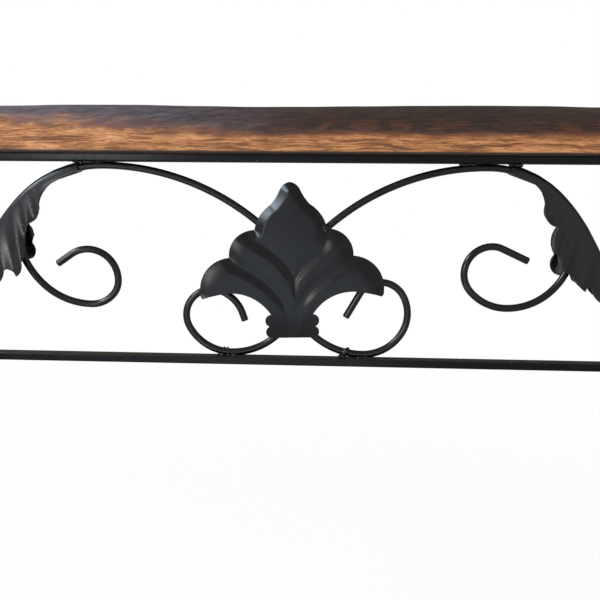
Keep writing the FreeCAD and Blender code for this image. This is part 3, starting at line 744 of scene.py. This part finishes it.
scrollWires = {
    "radius": 2.37,  # millimetres
    "ringGap": 0.9,
    "ringSides": 28,
    "endRound": 0.5,
    "endStep": 0.6,  # share of the last gap over which an end is rounded
    # bends from the straight stretch beside the middle outwards: radius of the centre line, turn in degrees
    "left": {
        "rising": [(25.6, 45.0), (163.2, 45.0), (75.0, 45.0), (20.8, 45.0), (57.4, 45.0), (48.3, 45.0),
                   (18.9, 50.0), (14.2, 40.0), (20.5, 90.0), (18.8, 35.0)],
        "outerTail": 11.5,
        "falling": [(20.9, 45.0), (44.2, 45.0), (32.4, 60.0), (16.6, 60.0), (17.1, 80.0), (24.1, 50.0)],
        "innerTail": 5.4,
    },
    "right": {
        "rising": [(44.6, 45.0), (154.0, 45.0), (62.0, 45.0), (40.2, 45.0), (44.5, 45.0), (40.6, 45.0),
                   (30.8, 50.0), (16.9, 40.0), (17.9, 90.0), (14.4, 25.0)],
        "outerTail": 18.5,
        "falling": [(30.0, 45.0), (49.0, 45.0), (29.8, 60.0), (24.4, 60.0), (16.6, 80.0), (15.1, 40.0)],
        "innerTail": 18.2,
    },
}


def bentLine(start, heading, bends, turn, side, tail):
    # tangent arcs one after another and a straight tail
    gap = scrollWires["ringGap"]
    points = [0j]
    along = cmath.rect(1, math.radians(heading))
    for radius, degrees in bends:
        sweep = turn * math.radians(degrees)
        spoke = -1j * turn * radius * along
        points += swing(points[-1] - spoke, spoke, sweep, gap)[1:]
        along *= cmath.rect(1, sweep)
    steps = max(fewestSteps, round(tail / gap))
    end = points[-1]
    points += [end + along * tail * k / steps for k in range(1, steps + 1)]
    return [Vector((start[0] + side * point.real, start[1] + point.imag)) for point in points]


def quarterHeight(bends):
    # height of the two bends that turn an upright wire level
    (first, degrees), (second, _) = bends[:2]
    sine = math.sin(math.radians(degrees))
    return first * sine + second * (1 - sine)


def makeWire(name, node, side, bends):
    low, high = (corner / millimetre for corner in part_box(node))
    radius = (high.y - low.y) / 2
    x = high.x - radius if side < 0 else low.x + radius
    upper = (x, high.z - radius - quarterHeight(bends["rising"]))
    lower = (x, low.z + radius + quarterHeight(bends["falling"]))
    up = bentLine(upper, 90.0, bends["rising"], -1, side, bends["outerTail"])
    down = bentLine(lower, -90.0, bends["falling"], 1, side, bends["innerTail"])
    line = down[::-1] + up
    step, ease, sides = (scrollWires[label] for label in ("endStep", "endRound", "ringSides"))
    shrink = [ease] + [0.0] * len(line) + [ease]
    line = [line[0], line[0].lerp(line[1], step)] + line[1:-1] + [line[-1].lerp(line[-2], step), line[-1]]
    middle = (low.y + high.y) / 2
    bm = bmesh.new()
    rings = []
    for k, (place, less) in enumerate(zip(line, shrink)):
        along = (line[min(k + 1, len(line) - 1)] - line[max(k - 1, 0)]).normalized()
        ring = []
        for corner in range(sides):
            turn = 2 * math.pi * corner / sides
            spoke = cmath.rect(scrollWires["radius"] - less, turn)
            across = spoke.real
            point = Vector((place.x - along.y * across, middle + spoke.imag, place.y + along.x * across))
            ring.append(bm.verts.new(point * millimetre))
        rings.append(ring)
    joinRings(bm, rings)
    for ring in (rings[0], rings[-1]):
        bm.faces.new(ring)
    return newPiece(name, sweptMesh(bm, name), wirePaint, "black_iron", node)


leftScrollWire = makeWire("leftScrollWire", "left_scroll", -1, scrollWires["left"])
rightScrollWire = makeWire("rightScrollWire", "right_scroll", 1, scrollWires["right"])
print("wires made:", len(leftScrollWire.data.polygons) + len(rightScrollWire.data.polygons), "faces")


palmette = {
    "pointGap": 0.75,  # millimetres between the points of the sheet
    "rowGap": 0.866,  # the rest of the gaps are shares of it
    "edgeGap": 0.5,
    "creaseGap": 0.45,
    "footSteps": 30,
    "tolerance": 1e-5,
    "sharpAngle": 60.0,
    "thickness": 1.2,
    "rim": 2.0,  # height of the edge above the seat
    "relief": 7.0,  # height of the flat of the petals
    "crown": 0.5,
    "crownReach": 26,
    "bevel": 6.0,  # width of the slope along the upper edge of the top petal
    "softBevel": 12.0,  # and of the petals beside it
    "softRim": 0.68,  # share of their height that they keep at the edge
    "notchReach": 13.0,  # around the notch beside the top petal they don't
    "petalShares": (0.72, 0.9, 1.04),  # height of the top, middle and lower petals
    "step": 4.0,  # width of the step from one petal to the next
    "creaseDepth": 0.18,  # share of the relief that is lost in a crease
    "creaseFade": 0.3,  # share of its length over which it starts
    "wall": 4.0,  # steep side of a crease, on the petal that stands proud
    "wallGrowth": 2.0,  # by which it is wider at the outer end
    "hollow": 9.0,  # gentle side
    "footShare": 0.35,  # height of the sheet at its foot
    "footRamp": 34.0,  # height above which it is whole
    "lean": 1.8,  # degrees to the left
    "rise": 102.4 / 103.0,
    "foot": (0.8, -71.43, -51.5),
    # half of the outline from the tip down: a point, a point on the arc to the next, and so on
    "upperEdge": [(0.0, 103.0), (4.2, 101.2), (6.6, 98.0), (9.2, 93.1), (12.8, 88.5), (20.0, 81.4),
                  (23.6, 72.5), (36.4, 66.6), (40.3, 54.7), (55.2, 46.9), (59.5, 31.5)],
    "lowerEdge": [(59.5, 31.5), (59.3, 29.6), (58.0, 28.0), (51.0, 29.9), (44.0, 31.2), (27.8, 29.2),
                  (13.7, 17.2), (17.5, 12.6), (14.9, 9.2), (17.3, 5.8), (11.9, 1.6)],
    "notch": (23.6, 72.5),
    # lines of the creases from the stem up, and the side on which the proud petal lies
    "creases": [
        (-1, [(2.2, 30.0), (1.6, 36.0), (-2.2, 45.3), (-9.1, 53.4), (-17.9, 60.5), (-25.4, 65.6),
              (-30.0, 70.5)]),
        (1, [(2.4, 29.0), (3.2, 39.5), (7.7, 46.2), (15.3, 53.4), (20.8, 58.4), (23.6, 64.0), (24.6, 74.0)]),
        (-1, [(-4.6, 14.0), (-6.4, 22.9), (-11.6, 30.9), (-19.5, 38.6), (-28.2, 44.4), (-36.5, 49.2),
              (-42.0, 56.0)]),
        (1, [(5.0, 13.0), (6.4, 20.0), (8.9, 26.5), (13.5, 32.3), (19.5, 37.6), (26.8, 43.0), (33.2, 48.2),
             (41.5, 56.5)]),
    ],
}


def arcPoints(points, gap):
    # evenly spaced points on the circle through three points, the last one left out
    first, middle, last = (complex(*point) for point in points)
    turn = 2 * cmath.phase((last - middle) / (middle - first))
    centre = first + (last - first) / (1 - cmath.rect(1, turn))
    return [(place.real, place.imag) for place in swing(centre, first - centre, turn, gap)[:-1]]


def smoothLine(corners, gap):
    # curve through the corners, cut into short runs
    corners = numpy.array(corners)
    line = []
    for i, (first, second) in enumerate(zip(corners, corners[1:])):
        steps = max(2, round(numpy.linalg.norm(second - first) / gap))
        line += [curvePoint(corners, i, k / steps) for k in range(steps)]
    return numpy.array(line + [corners[-1]])


def nearest(points, line, block=2000):
    # distance to a run of segments, share of the way along it and the side (positive to the right)
    start, step = line[:-1], line[1:] - line[:-1]
    lengths = numpy.linalg.norm(step, axis=1)
    passed = numpy.concatenate(([0.0], numpy.cumsum(lengths)))
    distance, share, side = (numpy.empty(len(points)) for _ in range(3))
    for low in range(0, len(points), block):
        these = slice(low, low + block)
        part = points[these, None, :] - start[None]
        t = numpy.clip((part * step).sum(2) / lengths ** 2, 0, 1)
        span = numpy.linalg.norm(part - t[..., None] * step, axis=2)
        best = span.argmin(1)
        row = numpy.arange(len(best))
        distance[these] = span[row, best]
        share[these] = (passed[best] + t[row, best] * lengths[best]) / passed[-1]
        cross = step[best, 0] * part[row, best, 1] - step[best, 1] * part[row, best, 0]
        side[these] = -numpy.sign(cross)
    return distance, share, side


def upTo(values, limit):
    # share of the way from 0 to a limit
    return numpy.clip(values / limit, 0, 1)


def betweenCreases(points, pair):
    # 1 between a left and a right crease and 0 outside them, with a step across each line
    (leftAway, _, leftSide), (rightAway, _, rightSide) = (nearest(points, line) for _, line in pair)
    inward = numpy.minimum(leftAway * leftSide, -rightAway * rightSide)
    return smoothStep(numpy.clip(0.5 + inward / palmette["step"], 0, 1))


def palmetteHeights(points, upperLine, creaseLines):
    fromEdge, _, _ = nearest(points, upperLine)
    aboveFoot = 1 - (1 - palmette["footShare"]) * (1 - upTo(points[:, 1], palmette["footRamp"])) ** 2
    topShare, middleShare, lowerShare = palmette["petalShares"]
    onTop, onMiddle = (betweenCreases(points, creaseLines[k:k + 2]) for k in (0, 2))
    sideShare = middleShare + (lowerShare - middleShare) * (1 - onMiddle) * aboveFoot ** 2
    crisp = topShare * upTo(fromEdge, palmette["bevel"])
    notchX, notchZ = palmette["notch"]
    fromNotch = numpy.hypot(numpy.abs(points[:, 0]) - notchX, points[:, 1] - notchZ)
    kept = palmette["softRim"] * upTo(fromNotch, palmette["notchReach"])
    soft = sideShare * (1 - (1 - kept) * (1 - upTo(fromEdge, palmette["softBevel"])) ** 2)
    swell = soft + (crisp - soft) * onTop
    crown = palmette["crown"] * (1 - (1 - upTo(fromEdge, palmette["crownReach"])) ** 2)
    lost = numpy.zeros(len(points))
    for proudSide, line in creaseLines:
        distance, share, side = nearest(points, line)
        steep = 1 - smoothStep(upTo(distance, palmette["wall"] + palmette["wallGrowth"] * share))
        gentle = 1 - smoothStep(upTo(distance, palmette["hollow"]))
        fade = smoothStep(upTo(share, palmette["creaseFade"]))
        lost = numpy.maximum(lost, numpy.where(side == proudSide, steep, gentle) * fade)
    above = ((palmette["relief"] - palmette["rim"]) * swell + crown) * (1 - palmette["creaseDepth"] * lost)
    return palmette["rim"] + above * aboveFoot


def insideOutline(points, outline):
    inside = numpy.zeros(len(points), bool)
    for (ax, az), (bx, bz) in zip(outline, numpy.roll(outline, -1, axis=0)):
        crosses = (az > points[:, 1]) != (bz > points[:, 1])
        inside ^= crosses & (points[:, 0] < (bx - ax) * (points[:, 1] - az) / (bz - az + 1e-12) + ax)
    return inside


def palmetteOutline(gap):
    # whole outline, and the part of it above the widest points
    def mirrored(line):
        return [(-x, z) for x, z in line[:0:-1]]

    upper, lower = ([place for k in range(0, len(edge) - 2, 2) for place in arcPoints(edge[k:k + 3], gap)]
                    for edge in (palmette["upperEdge"], palmette["lowerEdge"]))
    footX, footZ = palmette["lowerEdge"][-1]
    steps = palmette["footSteps"]
    foot = [(footX - 2 * footX * k / steps, footZ) for k in range(1, steps)]
    half = upper + lower + [(footX, footZ)]
    upper.append(palmette["upperEdge"][-1])
    return numpy.array(half + foot + mirrored(half)), numpy.array(mirrored(upper) + upper)


def flatPalmette(gap, outline, creaseLines):
    # flat points and faces of the sheet, with edges along the outline and the creases
    low, high = outline.min(0), outline.max(0)
    rows = numpy.arange(low[1], high[1], gap * palmette["rowGap"])
    columns = numpy.arange(low[0], high[0], gap)
    grid = numpy.array([(x + (k % 2) * gap / 2, z) for k, z in enumerate(rows) for x in columns])
    closed = numpy.vstack((outline, outline[:1]))

    def wellInside(points):
        points = points[insideOutline(points, outline)]
        return points[nearest(points, closed)[0] > palmette["edgeGap"] * gap]

    grid = wellInside(grid)
    chosen = []
    for _, line in creaseLines:
        chosen.append(wellInside(line))
        grid = grid[nearest(grid, chosen[-1])[0] > palmette["creaseGap"] * gap]
    points = [Vector(point) for point in numpy.vstack([outline, grid] + chosen)]
    edges = [(k, (k + 1) % len(outline)) for k in range(len(outline))]
    first = len(outline) + len(grid)
    for line in chosen:
        edges += [(first + k, first + k + 1) for k in range(len(line) - 1)]
        first += len(line)
    flat, _, faces, _, _, _ = geometry.delaunay_2d_cdt(points, edges, [], 1, palmette["tolerance"])
    return numpy.array([tuple(point) for point in flat]), faces


def makePalmette():
    gap = palmette["pointGap"]
    outline, upperLine = palmetteOutline(gap)
    creaseLines = [(side, smoothLine(line, gap)) for side, line in palmette["creases"]]
    flat, faces = flatPalmette(gap, outline, creaseLines)
    heights = palmetteHeights(flat, upperLine, creaseLines)
    lean = Matrix.Rotation(math.radians(-palmette["lean"]), 4, "Y")
    seat = Matrix.Translation(Vector(palmette["foot"])) @ lean
    bm = bmesh.new()
    sheets = []
    for depth in (palmette["thickness"], 0.0):
        places = [seat @ Vector((x, -height - depth, z * palmette["rise"]))
                  for (x, z), height in zip(flat, heights)]
        sheets.append([bm.verts.new(place * millimetre) for place in places])
    front, back = sheets
    for face in faces:
        bm.faces.new([front[k] for k in face])
        bm.faces.new([back[k] for k in reversed(face)])
    bm.verts.index_update()
    count = len(flat)
    rim = [edge for edge in bm.edges if edge.is_boundary and all(end.index < count for end in edge.verts)]
    for edge in rim:
        edge.smooth = False
        a, b = (vertex.index for vertex in edge.verts)
        bm.faces.new((front[a], front[b], back[b], back[a]))
    bmesh.ops.recalc_face_normals(bm, faces=bm.faces)
    for face in bm.faces:
        face.smooth = True
    for edge in bm.edges:
        if edge.calc_face_angle(0.0) > math.radians(palmette["sharpAngle"]):
            edge.smooth = False
    return newPiece("palmetteSheet", toMesh(bm, "palmetteSheet"), sheetPaint, "black_sheet", "palmette")


palmetteSheet = makePalmette()
print("palmette made:", len(palmetteSheet.data.polygons), "faces")


def newShapeTree(name, numbers):
    return newTree(name, "GeometryNodeTree", "Geometry", numbers, ["Geometry"])


def closeTree(desk, result, shape):
    plain = desk.out("GeometryNodeRealizeInstances", i0=shape)
    desk.put(result, "i0", desk.out("GeometryNodeSetMaterial", Geometry=plain, Material=weldPaint))


def roughen(desk, shape, height, size, settings):
    # soft lumps pushed in and out along the normal
    place = desk.vector("ADD", desk.out("GeometryNodeInputPosition"), settings["lumpShift"])
    lump = desk.noise(place, desk.math("DIVIDE", 1.0, size), 2.0, 0.5)
    push = desk.times(desk.math("SUBTRACT", lump, settings["lumpLevel"]), height)
    offset = desk.scale(desk.out("GeometryNodeInputNormal"), push)
    moved = desk.out("GeometryNodeSetPosition", Geometry=shape, Offset=offset)
    return desk.out("GeometryNodeSetShadeSmooth", i0=moved)


def throughNodes(name, mesh, tree, numbers, *nodes):
    # runs the mesh through a tree and keeps the result as a plain piece
    inputs = {item.identifier: numbers[item.name] for item in tree.interface.items_tree
              if item.item_type == "SOCKET" and item.in_out == "INPUT" and item.name in numbers}
    grown = throughModifier(name, mesh, "NODES", {"node_group": tree}, inputs)
    return newPiece(name, grown, weldPaint, "black_iron", *nodes)


welds = {
    "nodes": {"frameCornerWelds": "frame_corner_welds", "scrollTopWelds": "scroll_top_welds",
              "scrollBottomWelds": "scroll_bottom_welds", "palmetteBackWelds": "palmette_welds",
              "scrollCentreWelds": "scroll_centre_welds", "leafWelds": "leaf_welds"},
    "numbers": {"Lump Height": 1.6 * millimetre, "Lump Size": 2.6 * millimetre, "Softening": 2},
    "lumpShift": (0.3, 0.1, 0.7),
    "lumpLevel": 0.42,
    "fineness": 2,
}


def makeLumpyWeld():
    tree, desk, given, result = newShapeTree("lumpyWeld", welds["numbers"])
    fine = desk.out("GeometryNodeSubdivideMesh", Mesh=given["Geometry"], Level=welds["fineness"])
    blur = desk.add("GeometryNodeBlurAttribute", {"data_type": "FLOAT_VECTOR"}, Iterations=given["Softening"])
    value = [item for item in blur.inputs if item.enabled and item.type == "VECTOR"][0]
    tree.links.new(desk.out("GeometryNodeInputPosition"), value)
    soft = [item for item in blur.outputs if item.enabled][0]
    eased = desk.out("GeometryNodeSetPosition", Geometry=fine, Position=soft)
    closeTree(desk, result, roughen(desk, eased, given["Lump Height"], given["Lump Size"], welds))
    return tree


lumpyWeld = makeLumpyWeld()
for pieceName, node in welds["nodes"].items():
    source = toMesh(mergedCopy(node), pieceName + "Source")
    throughNodes(pieceName, source, lumpyWeld, welds["numbers"], node)

spatter = {
    "numbers": {"Specks": 150000.0, "Smallest": 0.12 * millimetre, "Largest": 0.34 * millimetre, "Seed": 5},
    "ballFineness": 2,
    "smallestLump": 0.01 * millimetre,
    "lumpHeight": 0.6 * millimetre,
    "lumpSize": 1.6 * millimetre,
    "lumpShift": (0.2, 0.5, 0.4),
    "lumpLevel": 0.42,
    # lumps that ran over the wires: x, y, z and radius, millimetres
    "lumps": [(-141.9, -73.0, 62.2, 0.6), (-138.5, -73.2, 62.4, 0.65), (-49.0, -72.4, -63.0, 1.1),
              (-46.0, -72.9, -62.8, 1.4), (-42.0, -73.0, -62.9, 1.3), (-38.4, -72.6, -63.2, 1.0),
              (-45.0, -71.6, -58.7, 1.3), (-42.9, -71.2, -58.8, 1.2), (34.4, -73.2, -59.6, 2.2),
              (35.4, -73.6, -58.6, 2.1), (36.6, -73.2, -57.4, 1.4), (31.6, -72.0, -62.8, 1.7),
              (34.0, -72.6, -62.6, 1.8)],
    # patches of rail that caught fine specks: x from and to, z from and to, on the front face
    "patches": [(-41.0, -33.0, -67.4, -64.4), (-50.0, -44.0, -67.0, -64.4), (28.0, 40.0, -67.2, -64.4),
                (-146.0, -128.0, 64.2, 66.0)],
    "railFront": -77.0,
}


def makeWeldSpatter():
    tree, desk, given, result = newShapeTree("weldSpatter", spatter["numbers"])
    ball = desk.out("GeometryNodeMeshIcoSphere", Radius=1.0, Subdivisions=spatter["ballFineness"])
    size = desk.out("GeometryNodeInputNamedAttribute", {"data_type": "FLOAT"}, Name="size")
    listed = desk.math("GREATER_THAN", size, spatter["smallestLump"])
    lumps = desk.out("GeometryNodeMeshToPoints", Mesh=given["Geometry"], Selection=listed)
    lumps = desk.out("GeometryNodeInstanceOnPoints", Points=lumps, Instance=ball, Scale=size)
    specks = desk.out("GeometryNodeDistributePointsOnFaces", Mesh=given["Geometry"], Density=given["Specks"],
                      Seed=given["Seed"])
    spread = desk.add("FunctionNodeRandomValue", {"data_type": "FLOAT"}, Seed=given["Seed"])
    for socket in spread.inputs:
        if socket.enabled and socket.name in ("Min", "Max"):
            tree.links.new(given["Smallest" if socket.name == "Min" else "Largest"], socket)
    drawn = [item for item in spread.outputs if item.enabled][0]
    specks = desk.out("GeometryNodeInstanceOnPoints", Points=specks, Instance=ball, Scale=drawn)
    plain = desk.out("GeometryNodeRealizeInstances", i0=desk.joined(lumps, specks))
    closeTree(desk, result, roughen(desk, plain, spatter["lumpHeight"], spatter["lumpSize"], spatter))
    return tree


def makeSpatter():
    bm = bmesh.new()
    layer = bm.verts.layers.float.new("size")
    for x, y, z, radius in spatter["lumps"]:
        bm.verts.new(Vector((x, y, z)) * millimetre)[layer] = radius * millimetre
    y = spatter["railFront"]
    for x0, x1, z0, z1 in spatter["patches"]:
        corners = [(x0, y, z0), (x1, y, z0), (x1, y, z1), (x0, y, z1)]
        bm.faces.new([bm.verts.new(Vector(corner) * millimetre) for corner in corners])
    throughNodes("weldSpatter", toMesh(bm, "spatterSource"), makeWeldSpatter(), spatter["numbers"])


makeSpatter()

screws = {
    "numbers": {"Head Radius": 4.0 * millimetre, "Head Height": 2.6 * millimetre,
                "Shank Radius": 2.0 * millimetre, "Shank Length": 22.0 * millimetre},
    "headSegments": 28,
    "headRings": 18,
    "shankSides": 20,
    # sizes as shares of the head's radius
    "block": 3.0,  # takes off the upper half of the head
    "slots": ((1.1, 0.22), (0.22, 1.1)),
}


def makeBoardScrew():
    tree, desk, given, result = newShapeTree("boardScrew", screws["numbers"])
    radius, height, shankLength = (given[name] for name in ("Head Radius", "Head Height", "Shank Length"))

    def lifted(shape, z):
        return desk.out("GeometryNodeTransform", Geometry=shape, Translation=desk.xyz(z=z))

    def box(x, y, z):
        return desk.out("GeometryNodeMeshCube", Size=desk.xyz(x, y, z))

    ball = desk.out("GeometryNodeMeshUVSphere", Segments=screws["headSegments"], Rings=screws["headRings"],
                    Radius=1.0)
    dome = desk.out("GeometryNodeTransform", Geometry=ball, Scale=desk.xyz(radius, radius, height))
    wide = desk.times(radius, screws["block"])
    cuts = [lifted(box(wide, wide, wide), desk.times(wide, 0.5))]
    for longX, longY in screws["slots"]:
        bar = box(desk.times(radius, longX), desk.times(radius, longY), height)
        cuts.append(lifted(bar, desk.times(height, -1.0)))
    head = desk.add("GeometryNodeMeshBoolean", {"operation": "DIFFERENCE"}, i0=dome)
    for cut in cuts:
        tree.links.new(cut, head.inputs[1])
    shank = desk.out("GeometryNodeMeshCylinder", Vertices=screws["shankSides"], Radius=given["Shank Radius"],
                     Depth=shankLength)
    whole = desk.joined(head.outputs[0], lifted(shank, desk.times(shankLength, 0.5)))
    points = desk.out("GeometryNodeMeshToPoints", Mesh=given["Geometry"])
    closeTree(desk, result, desk.out("GeometryNodeInstanceOnPoints", Points=points, Instance=whole))
    return tree


def makeScrews():
    low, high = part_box("board_screws")
    inset = screws["numbers"]["Head Radius"]
    seat = low.z + screws["numbers"]["Head Height"]
    mesh = bpy.data.meshes.new("screwSource")
    seats = [(x, y, seat) for x in (low.x + inset, high.x - inset) for y in (low.y + inset, high.y - inset)]
    mesh.from_pydata(seats, [], [])
    throughNodes("boardScrews", mesh, makeBoardScrew(), screws["numbers"], "board_screws")


makeScrews()
print("welds, spatter and screws made")

stage = {
    "floorDrop": 0.36,  # below the lowest iron
    "floorHalf": 9.0,
    "floorColour": srgb(244, 243, 240),
    "floorWhite": (0.96, 1.0),  # share of plain white near the object and far from it
    "whiteReach": (0.5, 2.2),
    # place, size, power and colour
    "lamps": {
        "windowLight": ((-1.06, -0.54, 0.87), 0.41, 23.0, (0.76, 0.88, 1.0)),
        "softKey": ((-0.85, -1.38, 0.24), 0.37, 10.0, (1.0, 0.98, 0.97)),
        "tableBounce": ((-0.1, -1.15, -0.3), 0.75, 3.8, (0.74, 0.87, 1.0)),
        "tableGlint": ((-0.3, -0.56, -0.36), 0.1, 0.45, (0.84, 0.92, 1.0)),
        "roomFill": ((0.9, -1.2, 0.4), 1.0, 1.6, (1.0, 0.94, 0.87)),
    },
    "lampTarget": (0.0, -0.1, 0.0),
    "ambient": 0.12,
    "ambientColour": (0.92, 0.95, 1.0, 1.0),
}


def seenDirectly(desk):
    # 1 for what the camera sees, also in a reflection, and 0 for what only lights the object
    ray = desk.add("ShaderNodeLightPath").outputs
    reflected = desk.math("MAXIMUM", ray["Is Glossy Ray"], ray["Is Transmission Ray"])
    return desk.math("MAXIMUM", ray["Is Camera Ray"], reflected)


def makeFloor():
    half = stage["floorHalf"]
    z = cadBox[0].z - stage["floorDrop"]
    mesh = bpy.data.meshes.new("paleFloor")
    corners = [(-half, -half, z), (half, -half, z), (half, half, z), (-half, half, z)]
    mesh.from_pydata(corners, [], [range(4)])
    material = bpy.data.materials.new("paleFloor")
    desk = clearNodes(material)
    matt = desk.out("ShaderNodeBsdfDiffuse", Color=stage["floorColour"])
    glow = desk.out("ShaderNodeEmission", Color=white, Strength=1.0)
    flat = desk.vector("MULTIPLY", desk.add("ShaderNodeTexCoord").outputs["Object"], (1.0, 1.0, 0.0))
    pale = desk.span(desk.length(flat), *stage["whiteReach"], *stage["floorWhite"])
    both = desk.out("ShaderNodeMixShader", i0=desk.times(seenDirectly(desk), pale), i1=matt, i2=glow)
    desk.add("ShaderNodeOutputMaterial", Surface=both)
    mesh.materials.append(material)
    floor = newObject("paleFloor", mesh)


def makeLamp(name, place, size, power, colour):
    lamp = bpy.data.lights.new(name, "AREA")
    lamp.shape = "DISK"
    lamp.size = size
    lamp.energy = power
    lamp.color = colour
    holder = newObject(name, lamp)
    holder.location = place
    towards = Vector(stage["lampTarget"]) - Vector(place)
    holder.rotation_euler = towards.to_track_quat("-Z", "Y").to_euler()


def makeWorld():
    world = bpy.data.worlds.new("paleRoom")
    scene.world = world
    desk = clearNodes(world)
    room = desk.out("ShaderNodeBackground", Color=stage["ambientColour"], Strength=stage["ambient"])
    plain = desk.out("ShaderNodeBackground", Color=white, Strength=1.0)
    both = desk.out("ShaderNodeMixShader", i0=seenDirectly(desk), i1=room, i2=plain)
    desk.add("ShaderNodeOutputWorld", Surface=both)


viewpoint = {
    "place": Vector((33.39, -592.47, 26.55)) * millimetre,
    "lens": 48.0,
    "sensor": 36.0,
    "yaw": 3.129,  # degrees to the left
    "pitch": 5.711,  # degrees down
    "roll": 0.607,
}


def makeCamera():
    yaw, pitch, roll = (math.radians(viewpoint[name]) for name in ("yaw", "pitch", "roll"))
    camera = bpy.data.cameras.new("photoCamera")
    camera.lens = viewpoint["lens"]
    camera.sensor_width = viewpoint["sensor"]
    place = Matrix.Translation(viewpoint["place"])
    for angle, axis in ((yaw, "Z"), (math.pi / 2 - pitch, "X"), (roll, "Z")):
        place = place @ Matrix.Rotation(angle, 4, axis)
    scene.camera = newObject("photoCamera", camera)
    scene.camera.matrix_world = place


makeFloor()
for lampName, (place, size, power, colour) in stage["lamps"].items():
    makeLamp(lampName, place, size, power, colour)
makeWorld()
makeCamera()
print("stage, lights and camera made")
